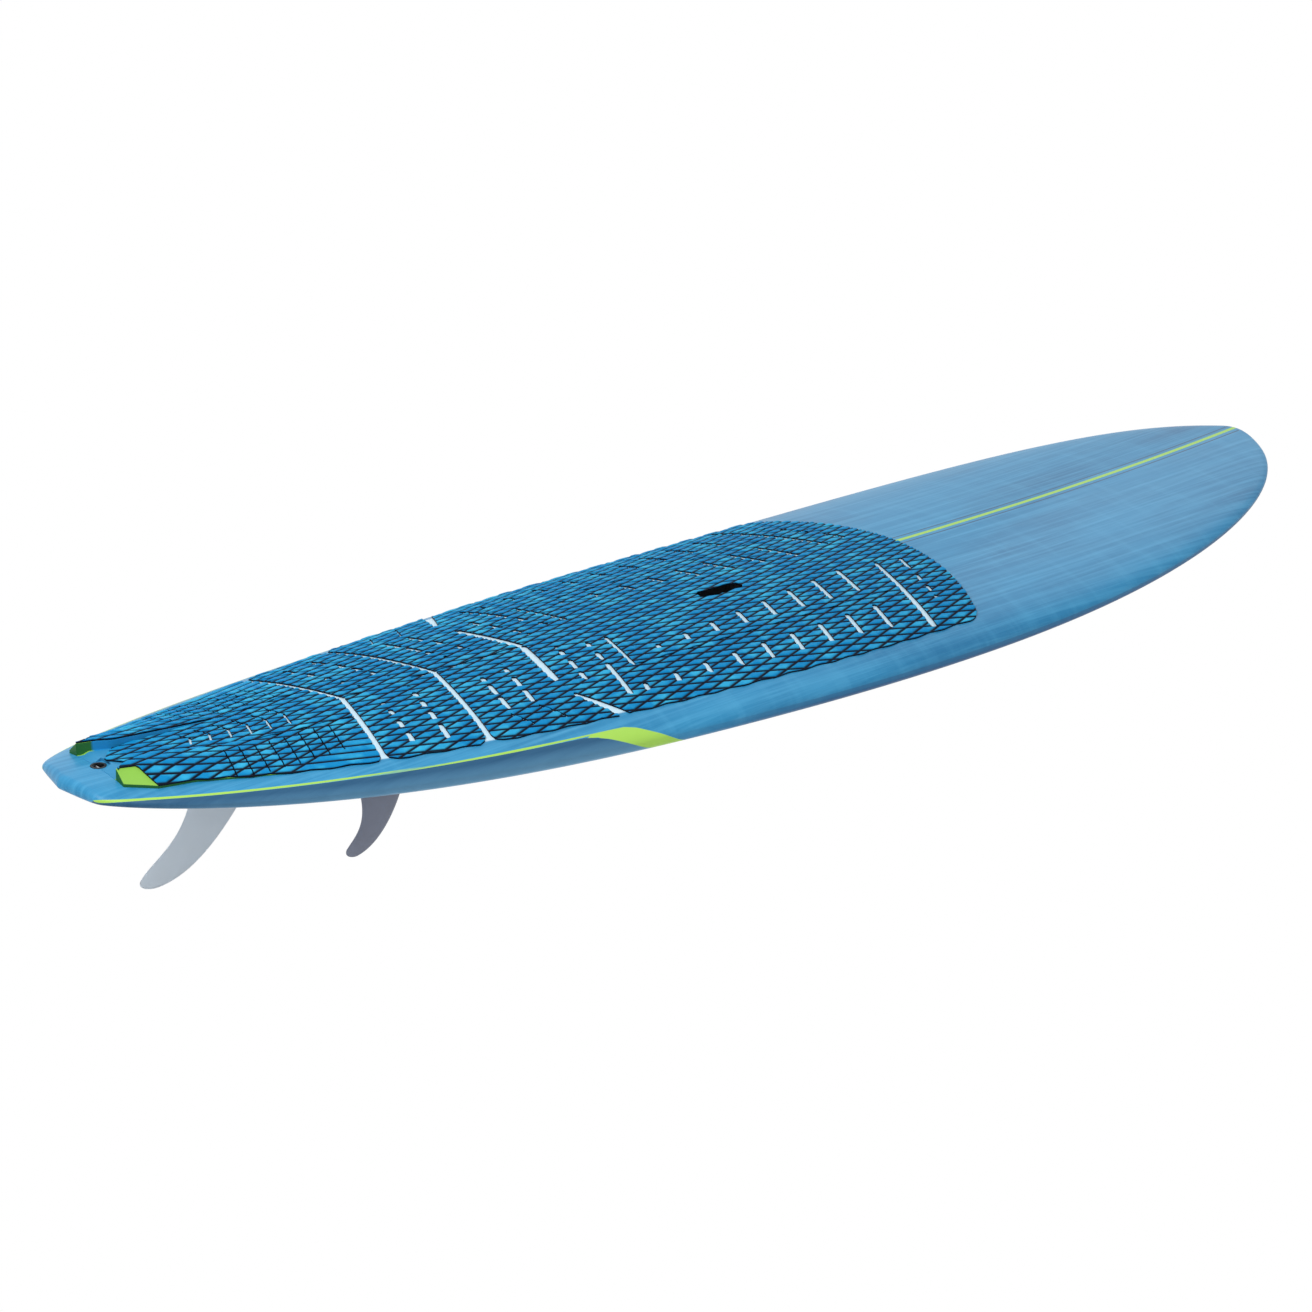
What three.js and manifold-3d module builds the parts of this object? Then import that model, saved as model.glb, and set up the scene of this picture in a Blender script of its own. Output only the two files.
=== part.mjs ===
// A nine-foot stand-up board: foam core, skins, glued deck pads, handle well, leash plug and three fins.
// Millimetres. While the pieces are made, x runs from the tail point (0) to the nose, +y is port, and
// z = 0 is the lowest point of the bottom. The finished group is moved so that its origin is the
// middle of its box, at the level of the centre fin's tip.

import * as THREE from 'three';
import { mergeVertices } from 'three/addons/utils/BufferGeometryUtils.js';
import Module from 'manifold-3d';

const wasm = await Module();
wasm.setup();

// ---- Board sizes ----
const boardLength = 2743;
const boardHalfWidth = 377;
const widePointX = 0.615 * boardLength;
const tailCornerX = 18; // how far the tail point stands behind the two tail corners
const tailHalfWidth = 80;
const tailFairing = 90; // the diamond tail's angle fades out over this length
const tailRocker = 72;
const noseRocker = 141;
const lowPointX = 0.42 * boardLength;
const tailRockerPower = 2.6;
const noseRockerPower = 2.5;
const boardThickness = 109;
const tailThickness = 25;
const noseThickness = 27;
const thickestX = 0.5 * boardLength;
const tailThinning = 2.35;
const noseThinning = 2.05;
const railShare = 0.351; // the rail's widest line, as a share of the thickness above the bottom
const deckDome = 1.908; // powers of the two half sections: 2 is an ellipse, more is flatter
const bottomDome = 3.4;
const endRadius = 14;
const skinThickness = 3;
const stringerThickness = 6;
const clearance = 0.3; // between any two pieces that touch
const stationCount = 30;
const halfSectionSteps = 6;

// ---- Deck pad sizes ----
const padThickness = 5;
const padRailInset = 50;
const padSeam = 8;
const seamVertexX = [533, 719]; // tail pads | mid pad | front pad, on the centreline
const seamSweep = [0.275, 0.24]; // how far a seam falls back for each mm away from the centreline
const padFrontX = 1783;
const padFrontBow = 0.00087;
const padCornerRadius = 16;
const padSplitInset = 5; // how far inside the handle well's ends the front pad is divided

// ---- Tail kick ----
const kickRearX = 70;
const kickPeakHeight = 20;
const kickPeakY = 64;
const kickRidgeX = 102;
const kickRidgeY = 73;
const kickRearY = 87;
const kickEdgeX = 115;
const kickEdgeY = 116;
const kickEdgeHeight = 4;
const kickFrontX = 330;
const kickToeX = 318; // where the wedge is cut off blunt
const kickToeHeight = 0.6;
const archSupport = 5; // kick height under the centre arch
const archProwX = 87;
const archRearX = 125;
const archRearY = 42;
const kickWallRun = 1.5; // width of the steep wall beside the arch
const archSplay = 0.078; // how fast the cut beside the arch moves outward, going forward

// ---- Leash plug ----
const leashX = 74;
const leashOuterRadius = 13;
const leashBoreRadius = 9.5;
const leashDepth = 17;
const leashFloor = 3;
const leashPinRadius = 2;
const leashPinDrop = 5; // from the deck to the pin's axis

// ---- Handle well ----
const handleX = 1351;
const handleLength = 108;
const handleWidth = 40;
const handleDepth = 42;
const handleWall = 2.5;
const handleFlange = 6;
const fingerReach = 16; // undercut for the finger tips, on the port side
const fingerLength = 84;
const fingerRoof = 14; // from the deck to the top of the undercut
const ventX = 34; // in front of the handle's middle
const ventRadius = 8;
const ventDepth = 11;
const ventScrewRadius = 4.6;
const ventHeadRadius = 6.4;
const ventHeadHeight = 2.6;
const ventStemLength = 7;
const ringSection = 0.9;

// ---- Centre fin and its box, in the box's own frame: x forward, z up into the board ----
const finX = 311;
const finBoxLength = 273;
const finBoxForward = 25; // the box's middle is this far in front of the fin's middle
const finBoxWidth = 25;
const finBoxDepth = 29;
const finSlotWidth = 9.6;
const finSlotDepth = 24;
const finBoxEndWall = 9;
const finGrooveLow = 8.5;
const finGrooveHeight = 5;
const finGrooveReach = 2.8;
const finBaseRear = -67;
const finBaseFront = 65;
const finTongueLength = 16;
const finTongueHeight = 6;
const finThickness = 9;
const finEdge = 1.2; // thickness of a blade's leading and trailing edges
const finRows = 12;
const foilShares = [0, 0.12, 0.35, 0.65, 0.88, 1];
const finTabHeight = 20;
const finTip = [-128, -188.5];
const finPinRadius = 2.1;
const finScrewRadius = 2;
const finNutLength = 12;

// ---- Side fins and their boxes, in each box's own frame ----
const sideFinX = 487;
const sideFinY = 195;
const sideFinToeIn = 2.5; // degrees
const sideFinCant = 5; // degrees
const sideBoxLength = 122;
const sideBoxWidth = 18;
const sideBoxDepth = 21;
const sideTabLength = 88;
const sideTabHeight = 15;
const sideFinThickness = 6.4;
const sideSlotEnd = 10; // wall behind the slot
const sideFinTip = [-62, -107.5];
const sideScrewRadius = 2.4;
const sideScrewLength = 9;

// ---- Materials ----
const finish = (color, roughness, metalness = 0) =>
  new THREE.MeshStandardMaterial({ color, roughness, metalness });
const deckPaint = () => finish(0x74a5c3, 0.3);
const foam = () => finish(0xe8ecee, 0.9);
const bluePad = () => finish(0x1e6eb4, 0.8);
const greenFoam = () => finish(0x86bb3c, 0.8);
const blackPlastic = () => finish(0x16181b, 0.45);
const steel = () => finish(0xb9bec4, 0.3, 1);

// ---- Small tools for solids ----
function toSolid(geometry) {
  geometry.deleteAttribute('normal');
  geometry.deleteAttribute('uv');
  const merged = mergeVertices(geometry, 1e-4);
  const index = merged.index.array;
  const triangles = [];
  for (let i = 0; i < index.length; i += 3) {
    const [a, b, c] = [index[i], index[i + 1], index[i + 2]];
    if (a !== b && b !== c && c !== a) triangles.push(a, b, c);
  }
  return new wasm.Manifold(new wasm.Mesh({
    numProp: 3,
    vertProperties: new Float32Array(merged.attributes.position.array),
    triVerts: new Uint32Array(triangles),
  }));
}

function toGeometry(solid) {
  const mesh = solid.getMesh();
  const geometry = new THREE.BufferGeometry();
  geometry.setAttribute('position', new THREE.BufferAttribute(mesh.vertProperties, 3));
  geometry.setIndex(new THREE.BufferAttribute(mesh.triVerts, 1));
  return geometry;
}

function meshFromRings(rings) {
  const count = rings[0].length;
  const index = [];
  for (let i = 0; i + 1 < rings.length; i++) {
    for (let j = 0; j < count; j++) {
      const a = i * count + j;
      const b = i * count + (j + 1) % count;
      index.push(a, b, a + count, b, b + count, a + count);
    }
  }
  const geometry = new THREE.BufferGeometry();
  geometry.setAttribute('position', new THREE.Float32BufferAttribute(rings.flat(2), 3));
  geometry.setIndex(index);
  return geometry;
}

// A closed sheet over rows of plan points, from the height low(x, y) to high(x, y).
function sheetSolid(rows, low, high) {
  const rings = rows.map((row) => [
    ...row.map((point) => [point[0], point[1], high(...point)]),
    ...row.toReversed().map((point) => [point[0], point[1], low(...point)]),
  ]);
  const geometry = meshFromRings(rings);
  const width = rows[0].length;
  const last = (rings.length - 1) * 2 * width;
  const index = [...geometry.index.array];
  for (let j = 0; j + 1 < width; j++) {
    const k = 2 * width - 1 - j;
    index.push(j, k, j + 1, j + 1, k, k - 1);
    index.push(last + j, last + j + 1, last + k, last + j + 1, last + k - 1, last + k);
  }
  geometry.setIndex(index);
  const solid = toSolid(geometry);
  return solid.volume() > 0 ? solid : toSolid(flipped(geometry));
}

function flipped(geometry) {
  const index = geometry.index.array;
  for (let i = 0; i < index.length; i += 3) [index[i], index[i + 1]] = [index[i + 1], index[i]];
  return geometry;
}

function prism(points, low, high) {
  const shape = new THREE.Shape(points.map(([x, y]) => new THREE.Vector2(x, y)));
  const geometry = new THREE.ExtrudeGeometry(shape, { depth: high - low, bevelEnabled: false });
  return toSolid(geometry.translate(0, 0, low));
}

// A solid across the whole board between y = -reach and +reach, from an outline in x and z.
function crossPrism(points, reach) {
  const shape = new THREE.Shape(points.map(([x, z]) => new THREE.Vector2(x, z)));
  const geometry = new THREE.ExtrudeGeometry(shape, { depth: 2 * reach, bevelEnabled: false });
  return toSolid(geometry.translate(0, 0, -reach).rotateX(Math.PI / 2));
}

function box(x0, x1, y0, y1, z0, z1) {
  const geometry = new THREE.BoxGeometry(x1 - x0, y1 - y0, z1 - z0);
  return toSolid(geometry.translate((x0 + x1) / 2, (y0 + y1) / 2, (z0 + z1) / 2));
}

function upright(radius, x, y, low, high, sides = 24) {
  const geometry = new THREE.CylinderGeometry(radius, radius, high - low, sides);
  return toSolid(geometry.rotateX(Math.PI / 2).translate(x, y, (low + high) / 2));
}

function slotOutline(length, width, steps = 8) {
  const radius = width / 2;
  const points = [];
  for (const end of [1, -1]) {
    for (let i = 0; i <= steps; i++) {
      const angle = -Math.PI / 2 + (Math.PI * i) / steps;
      points.push([end * (length / 2 - radius + radius * Math.cos(angle)), end * radius * Math.sin(angle)]);
    }
  }
  return points;
}

const shifted = (points, x, y = 0) => points.map(([px, py]) => [px + x, py + y]);
const mirrored = (points) => points.map(([x, y]) => [x, -y]).toReversed();
const mirroredSolid = (solid) => solid.mirror([0, 1, 0]);
const union = (...solids) => solids.reduce((all, solid) => all.add(solid));
const without = (solid, ...cutters) => cutters.reduce((rest, cutter) => rest.subtract(cutter), solid);
const lerp = (a, b, t) => a + (b - a) * t;
const radians = (degrees) => (degrees * Math.PI) / 180;

// ---- The board's shape ----
const planCurves = [
  new THREE.CubicBezierCurve(
    new THREE.Vector2(tailCornerX, tailHalfWidth),
    new THREE.Vector2(tailCornerX + 2, tailHalfWidth + 44),
    new THREE.Vector2(0.16 * boardLength, boardHalfWidth),
    new THREE.Vector2(widePointX, boardHalfWidth),
  ),
  new THREE.CubicBezierCurve(
    new THREE.Vector2(widePointX, boardHalfWidth),
    new THREE.Vector2(0.99 * boardLength, boardHalfWidth),
    new THREE.Vector2(boardLength, 34),
    new THREE.Vector2(boardLength, 0),
  ),
];
const planPoints = planCurves.flatMap((curve) => curve.getPoints(120));

function halfWidthAt(x) {
  if (x <= tailCornerX) return tailHalfWidth;
  const i = planPoints.findIndex((point) => point.x >= x);
  const [a, b] = [planPoints[i - 1], planPoints[i]];
  return b.x === a.x ? b.y : a.y + ((b.y - a.y) * (x - a.x)) / (b.x - a.x);
}

function bottomAt(x) {
  return x < lowPointX
    ? tailRocker * ((lowPointX - x) / lowPointX) ** tailRockerPower
    : noseRocker * ((x - lowPointX) / (boardLength - lowPointX)) ** noseRockerPower;
}

function thicknessAt(x) {
  const [end, power] = x < thickestX ? [tailThickness, tailThinning] : [noseThickness, noseThinning];
  const reach = x < thickestX ? thickestX : boardLength - thickestX;
  return boardThickness - (boardThickness - end) * (Math.abs(x - thickestX) / reach) ** power;
}

const railHeightAt = (x) => bottomAt(x) + railShare * thicknessAt(x);
const tailFade = (along) => tailCornerX * Math.max(0, 1 - along / tailFairing);

// One station of the board grown by `offset`: points around the section, deck first.
function station(share, offset) {
  const along = share * boardLength;
  const fromTail = share === 0 ? 0 : share === 1 ? boardLength + 2 * offset : along + offset;
  const toEnd = Math.min(fromTail, boardLength + 2 * offset - fromTail) / (endRadius + offset);
  const roundness = toEnd < 1 ? Math.sqrt(Math.max(0, 1 - (1 - toEnd) ** 2)) : 1;
  const plan = share === 1 ? 0 : halfWidthAt(Math.max(along, tailCornerX));
  const halfWidth = plan + offset * Math.min(1, plan / 60);
  const point = (step, upper) => {
    const across = Math.sin((step / halfSectionSteps) * (Math.PI / 2));
    const x = fromTail - offset + tailFade(along) * Math.abs(across);
    const reach = (upper ? 1 - railShare : railShare) * thicknessAt(x) + offset;
    const power = upper ? deckDome : bottomDome;
    const height = reach * roundness * Math.max(0, 1 - Math.abs(across) ** power) ** (1 / power);
    return [x, across * halfWidth, railHeightAt(x) + (upper ? height : -height)];
  };
  const ring = [];
  for (let i = halfSectionSteps; i >= -halfSectionSteps; i--) ring.push(point(i, true));
  for (let i = 1 - halfSectionSteps; i < halfSectionSteps; i++) ring.push(point(i, false));
  return ring;
}

function boardSolid(offset) {
  const rings = [];
  for (let i = 0; i <= stationCount; i++) {
    rings.push(station((1 - Math.cos((Math.PI * i) / stationCount)) / 2, offset));
  }
  const geometry = meshFromRings(rings);
  const solid = toSolid(geometry);
  return solid.volume() > 0 ? solid : toSolid(flipped(geometry));
}

function deckAt(x, y) {
  let along = x;
  let across = 0;
  for (let i = 0; i < 6; i++) {
    across = Math.min(1, Math.abs(y) / halfWidthAt(Math.max(along, tailCornerX)));
    along = Math.max(0, x - tailFade(along) * across);
  }
  const height = Math.max(0, 1 - across ** deckDome) ** (1 / deckDome);
  return railHeightAt(x) + (1 - railShare) * thicknessAt(x) * height;
}

function undersideAt(x, y) {
  const across = Math.min(1, Math.abs(y) / halfWidthAt(x));
  const height = Math.max(0, 1 - across ** bottomDome) ** (1 / bottomDome);
  return railHeightAt(x) - railShare * thicknessAt(x) * height;
}

// ---- Core, stringer and skins ----
const reachY = boardHalfWidth + 60;
const topZ = noseRocker + boardThickness + 100;
const railLine = (shift) => {
  const points = [];
  for (let i = 0; i <= stationCount; i++) {
    const share = (1 - Math.cos((Math.PI * i) / stationCount)) / 2;
    points.push([share * boardLength, railHeightAt(share * boardLength) + shift]);
  }
  points.unshift([-50, points[0][1]]);
  points.push([boardLength + 50, points.at(-1)[1]]);
  return points;
};
const aboveRail = crossPrism([...railLine(clearance / 2), [boardLength + 50, topZ], [-50, topZ]], reachY);
const belowRail = crossPrism(
  [[-50, -60], [boardLength + 50, -60], ...railLine(-clearance / 2).toReversed()], reachY);
const outerBoard = boardSolid(0);
const shell = outerBoard.subtract(boardSolid(-skinThickness));
const coreBoard = boardSolid(-skinThickness - clearance);
const clearOfBoard = boardSolid(clearance);

// ---- Frames of the fin boxes ----
function finFrame(x, y, toeIn, cant) {
  const pitch = Math.atan2(bottomAt(x + 1) - bottomAt(x - 1), 2);
  const frame = new THREE.Matrix4().makeTranslation(x, y, undersideAt(x, y));
  frame.multiply(new THREE.Matrix4().makeRotationY(-pitch));
  frame.multiply(new THREE.Matrix4().makeRotationZ(radians(toeIn)));
  return frame.multiply(new THREE.Matrix4().makeRotationX(radians(cant)));
}
const placed = (solid, frame) => solid.transform(frame.elements);

// A foiled blade hanging below z = 0, between its leading and trailing edges given in x and z.
function finBlade(leading, trailing, thickness) {
  const front = leading.getSpacedPoints(finRows);
  const rear = trailing.getSpacedPoints(finRows);
  const rows = front.map((point, i) => foilShares.map((share) => [
    lerp(rear[i].x, point.x, share), lerp(rear[i].y, point.y, share), share, i / finRows]));
  const half = (x, z, share, depth) =>
    finEdge / 2 + (thickness - finEdge) / 2 * (1 - 0.6 * depth) * (1 - (2 * share - 1) ** 4) ** 0.8;
  const sheet = sheetSolid(rows, (...point) => -half(...point), half);
  return sheet.rotate([90, 0, 0]);
}

function edgeCurve(start, ...segments) {
  const path = new THREE.Path();
  path.moveTo(...start);
  for (const segment of segments) path.bezierCurveTo(...segment);
  return path;
}

// ---- Centre fin ----
const centreFrame = finFrame(finX, 0, 0, 0);
const below = -12; // cutters start this far outside the bottom
const finBoxRear = finBoxForward - finBoxLength / 2;
const finBoxFront = finBoxForward + finBoxLength / 2;
const grooveTop = finGrooveLow + finGrooveHeight;
const grooveHalf = finSlotWidth / 2 + finGrooveReach;
const entryX = finBoxForward + 46; // where the nut plate drops in
const finBoxOutline = (grow) =>
  shifted(slotOutline(finBoxLength + 2 * grow, finBoxWidth + 2 * grow), finBoxForward);
const finBoxPocket = placed(prism(finBoxOutline(clearance), below, finBoxDepth + clearance), centreFrame);
const finBoxBody = without(
  prism(finBoxOutline(0), below, finBoxDepth),
  box(finBoxRear + finBoxEndWall, finBoxFront - finBoxEndWall,
    -finSlotWidth / 2, finSlotWidth / 2, below - 1, finSlotDepth),
  box(finBoxRear + finBoxEndWall, finBoxFront - finBoxEndWall,
    -grooveHalf, grooveHalf, finGrooveLow, grooveTop),
  box(entryX - 8, entryX + 8, -grooveHalf, grooveHalf, below - 1, grooveTop),
);
const centreFinBox = placed(finBoxBody, centreFrame).intersect(outerBoard);

const centreLeading = edgeCurve([finBaseFront, 0], [28, -60, -35, -178, ...finTip]);
const centreTrailing = edgeCurve([finBaseRear, 0], [-66, -115, -135, -135, -157, -172],
  [-162, -182, -148, -190, ...finTip]);

const blockHalf = finSlotWidth / 2 - clearance;
const finTabLow = 1;
const nutX = finBaseFront + finTongueLength / 2;
const pinX = finBaseRear + 9;
const pinZ = finGrooveLow + finGrooveHeight / 2;
const pinLength = 2 * grooveHalf - 2 * clearance;
const boardRoom = placed(boardSolid(2), centreFrame.clone().invert());
const centreFinBody = without(
  union(
    finBlade(centreLeading, centreTrailing, finThickness).subtract(boardRoom),
    box(finBaseRear, finBaseFront, -blockHalf, blockHalf, -4, finTabHeight),
    box(finBaseFront - 1, finBaseFront + finTongueLength, -blockHalf, blockHalf, finTabLow, finTongueHeight),
  ),
  toSolid(new THREE.CylinderGeometry(finPinRadius + clearance, finPinRadius + clearance, 40, 16)
    .translate(pinX, 0, pinZ)),
  upright(finScrewRadius + clearance, nutX, 0, -5, 12, 16),
);
const finPin = toSolid(new THREE.CylinderGeometry(finPinRadius, finPinRadius, pinLength, 16)
  .translate(pinX, 0, pinZ));
const nutLow = finGrooveLow + clearance;
const finNut = without(
  box(nutX - finNutLength / 2 + 1, nutX + finNutLength / 2 + 1, -grooveHalf + clearance,
    grooveHalf - clearance, nutLow, grooveTop - clearance),
  upright(finScrewRadius + clearance, nutX, 0, 0, 30, 16),
);
const screwHeadLow = finTabLow - 2.6;
const finScrew = union(
  upright(finScrewRadius, nutX, 0, screwHeadLow + 0.5, 18, 16),
  upright(3.9, nutX, 0, screwHeadLow, finTabLow - clearance, 20),
).subtract(box(nutX - 0.5, nutX + 0.5, -5, 5, screwHeadLow - 1, screwHeadLow + 1.2));

// ---- Side fins ----
const sideBoxRear = -sideBoxLength / 2 - 2;
const sideSlotRear = sideBoxRear + sideSlotEnd;
const sideSlotFront = sideSlotRear + sideTabLength + 2 * clearance;
const sideScrewX = sideSlotFront + 1.5 + sideScrewRadius;
const sideBoxOutline = (grow) =>
  shifted(slotOutline(sideBoxLength + 2 * grow, sideBoxWidth + 2 * grow), sideBoxRear + sideBoxLength / 2);
const sideSlotHalf = sideFinThickness / 2 + clearance;
const sideTabRear = sideSlotRear + clearance;
const sideLeading = edgeCurve([sideTabRear + sideTabLength, 0], [24, -36, -10, -98, ...sideFinTip]);
const sideTrailing = edgeCurve([sideTabRear, 0], [-38, -58, -62, -72, -80, -92],
  [-86, -101, -76, -108, ...sideFinTip]);
const sideBoxBody = without(
  prism(sideBoxOutline(0), below, sideBoxDepth),
  box(sideSlotRear, sideSlotFront, -sideSlotHalf, sideSlotHalf, below - 1, sideTabHeight + clearance),
  upright(sideScrewRadius + clearance, sideScrewX, 0, below - 1, sideScrewLength + 4, 16),
);
const sideScrewBody = without(
  upright(sideScrewRadius, sideScrewX, 0, 2, 2 + sideScrewLength, 16),
  upright(1.3, sideScrewX, 0, 1, 5, 6),
);

function sideFinSet(side) {
  const frame = finFrame(sideFinX, side * sideFinY, -side * sideFinToeIn, side * sideFinCant);
  const room = placed(boardSolid(1.5), frame.clone().invert());
  const blade = finBlade(sideLeading, sideTrailing, sideFinThickness).subtract(room);
  const neckRear = sideTabRear + 2;
  const tab = union(
    box(sideTabRear, sideTabRear + sideTabLength, -sideFinThickness / 2, sideFinThickness / 2, -1,
      sideTabHeight),
    box(neckRear, sideTabRear + sideTabLength, -sideFinThickness / 2, sideFinThickness / 2, -5, 0),
  );
  return {
    box: placed(sideBoxBody, frame).intersect(outerBoard),
    pocket: placed(prism(sideBoxOutline(clearance), below, sideBoxDepth + clearance), frame),
    fin: placed(blade.add(tab), frame),
    screw: placed(sideScrewBody, frame),
  };
}
const portFin = sideFinSet(1);
const starboardFin = sideFinSet(-1);

// ---- Handle well and air vent ----
const handleDeck = deckAt(handleX, 0);
const handleFloor = handleDeck - handleDepth;
const wellOutline = (grow) => shifted(slotOutline(handleLength + 2 * grow, handleWidth + 2 * grow), handleX);
const reachOutline = (grow) => {
  const half = fingerLength / 2 + grow;
  const edge = handleWidth / 2 + fingerReach + grow;
  return shifted([[-half, 0], [half, 0], [half, edge - 10], [half - 10, edge], [10 - half, edge],
    [-half, edge - 10]], handleX);
};
const wellCavity = (grow) => union(
  prism(wellOutline(grow), handleFloor - grow, handleDeck + 20),
  prism(reachOutline(grow), handleFloor - grow, handleDeck - fingerRoof + grow),
);
const flange = prism(wellOutline(handleFlange), handleDeck - 30, handleDeck + 20)
  .subtract(boardSolid(-skinThickness));
const cupRear = handleX - handleLength / 2 - handleWall;
const cupFront = handleX + handleLength / 2 + handleWall;
const cupPort = handleWidth / 2 + fingerReach + handleWall;
const cupStarboard = -handleWidth / 2 - handleWall;
const cupBlock = (grow) => box(cupRear - grow, cupFront + grow, cupStarboard - grow, cupPort + grow,
  handleFloor - handleWall - grow, handleDeck + 20);
const handlePocket = cupBlock(clearance);
const flangePocket = prism(wellOutline(handleFlange + clearance), handleDeck - 30, handleDeck + 20);
const ventAxisX = handleX + ventX;
const ventTop = handleFloor + 0.5;
const ventOuter = (grow) =>
  upright(ventRadius + grow, ventAxisX, 0, handleFloor - ventDepth - grow, ventTop, 20);
const handleCup = without(
  union(wellCavity(handleWall), flange).intersect(outerBoard).add(cupBlock(0).intersect(coreBoard)),
  wellCavity(0),
  ventOuter(clearance),
);
const ventSeat = ventTop - ringSection * 2 - ventHeadHeight;
const ventBody = without(
  ventOuter(0),
  upright(ventHeadRadius + clearance, ventAxisX, 0, ventSeat, ventTop + 1, 20),
  upright(ventScrewRadius + clearance, ventAxisX, 0, ventSeat - ventStemLength - 1, ventTop, 20),
);
const ringRadius = ventScrewRadius + clearance + ringSection;
const ventRing = toSolid(new THREE.TorusGeometry(ringRadius, ringSection - clearance / 2, 8, 20)
  .translate(ventAxisX, 0, ventSeat + ringSection));
const ventHeadLow = ventSeat + 2 * ringSection;
const ventScrew = union(
  upright(ventHeadRadius, ventAxisX, 0, ventHeadLow, ventTop - clearance, 20),
  upright(ventScrewRadius - 0.4, ventAxisX, 0, ventSeat - ventStemLength, ventHeadLow + 0.5, 20),
).subtract(box(ventAxisX - 4.5, ventAxisX + 4.5, -0.8, 0.8, ventTop - 1.6, ventTop + 1));

// ---- Leash plug ----
const leashTop = deckAt(leashX, 0) + 1;
const leashBody = (grow) => upright(leashOuterRadius + grow, leashX, 0, leashTop - leashDepth - grow,
  leashTop + 8, 28);
const leashPinZ = leashTop - leashPinDrop;
const leashPinLength = 2 * leashBoreRadius + 4;
const acrossPin = (radius, length) => toSolid(
  new THREE.CylinderGeometry(radius, radius, length, 16).translate(leashX, 0, leashPinZ));
const leashCup = without(
  leashBody(0).intersect(boardSolid(1)),
  upright(leashBoreRadius, leashX, 0, leashTop - leashDepth + leashFloor, leashTop + 9, 24),
  acrossPin(leashPinRadius + clearance, leashPinLength + 2 * clearance),
);
const leashPin = acrossPin(leashPinRadius, leashPinLength);

// ---- Skins and core with their pockets ----
const sidePockets = union(portFin.pocket, starboardFin.pocket);
const leashPocket = leashBody(clearance);
const deckSkin = without(shell.intersect(aboveRail), flangePocket, leashPocket);
const bottomSkin = without(shell.intersect(belowRail), finBoxPocket, sidePockets);
const cutCore = without(coreBoard, handlePocket, ventOuter(clearance), leashPocket, finBoxPocket,
  sidePockets);
const halfStringer = stringerThickness / 2;
const stringer = cutCore.intersect(box(-40, boardLength + 40, -halfStringer, halfStringer, -60, topZ));
const coreSide = halfStringer + clearance;

// The foam blank is divided at the flat walls of the handle cup, so that every block is simple.
const coreBlocks = (side, cupSide) => {
  const block = (x0, x1, y0, y1) => {
    const [low, high] = side > 0 ? [y0, y1] : [-y1, -y0];
    return cutCore.intersect(box(x0, x1, low, high, -60, topZ));
  };
  const wall = Math.abs(cupSide) + clearance;
  return {
    rear: block(-40, cupRear - 2 * clearance, coreSide, reachY),
    side: block(cupRear - clearance, cupFront + clearance, wall, reachY),
    floor: block(cupRear - clearance, cupFront + clearance, coreSide, wall - clearance),
    front: block(cupFront + 2 * clearance, boardLength + 40, coreSide, reachY),
  };
};

// ---- Tail kick ----
const cutY = (x) => archRearY + archSplay * (x - archRearX);
const padEdgeY = (x) => halfWidthAt(x) - padRailInset;
const kickEdgeAt = (x) => (x < kickEdgeX
  ? lerp(kickRearY, kickEdgeY, Math.max(0, x - kickRearX) / (kickEdgeX - kickRearX))
  : padEdgeY(x) + (kickEdgeY - padEdgeY(kickEdgeX)) * Math.max(0, 1 - (x - kickEdgeX) / 60));
const kickRidgeAt = (x) => (x < kickRidgeX
  ? lerp(kickPeakY, kickRidgeY, Math.max(0, x - kickRearX) / (kickRidgeX - kickRearX))
  : kickRidgeY + 0.1 * (x - kickRidgeX));

// The foot of the wedge's steep wall beside the arch.
const wallAt = (x) => (x < archRearX
  ? lerp(kickPeakY - 2, archRearY, Math.max(0, x - kickRearX - 2) / (archRearX - kickRearX - 2))
  : cutY(x));

// The green wedge's height above the deck.
function kickHeight(x, y) {
  const fade = Math.min(1, Math.max(0, (kickFrontX - x) / (kickFrontX - kickRidgeX)));
  const reach = Math.abs(y);
  const wall = wallAt(x);
  const ridge = kickRidgeAt(x);
  const edge = kickEdgeAt(x);
  const height = reach < ridge
    ? lerp(archSupport, kickPeakHeight, Math.min(1, Math.max(0, reach - wall) / kickWallRun))
    : lerp(kickPeakHeight, kickEdgeHeight, Math.min(1, (reach - ridge) / (edge - ridge)));
  return height * fade;
}

function crossRow(x, inner, outer, breaks) {
  const steps = [inner, ...breaks.filter((y) => y > inner + 2 && y < outer - 2), outer];
  while (steps.length < breaks.length + 2) {
    let widest = 0;
    for (let i = 1; i + 1 < steps.length; i++) {
      if (steps[i + 1] - steps[i] > steps[widest + 1] - steps[widest]) widest = i;
    }
    steps.splice(widest + 1, 0, (steps[widest] + steps[widest + 1]) / 2);
  }
  return steps.map((y) => [x, y]);
}

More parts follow.
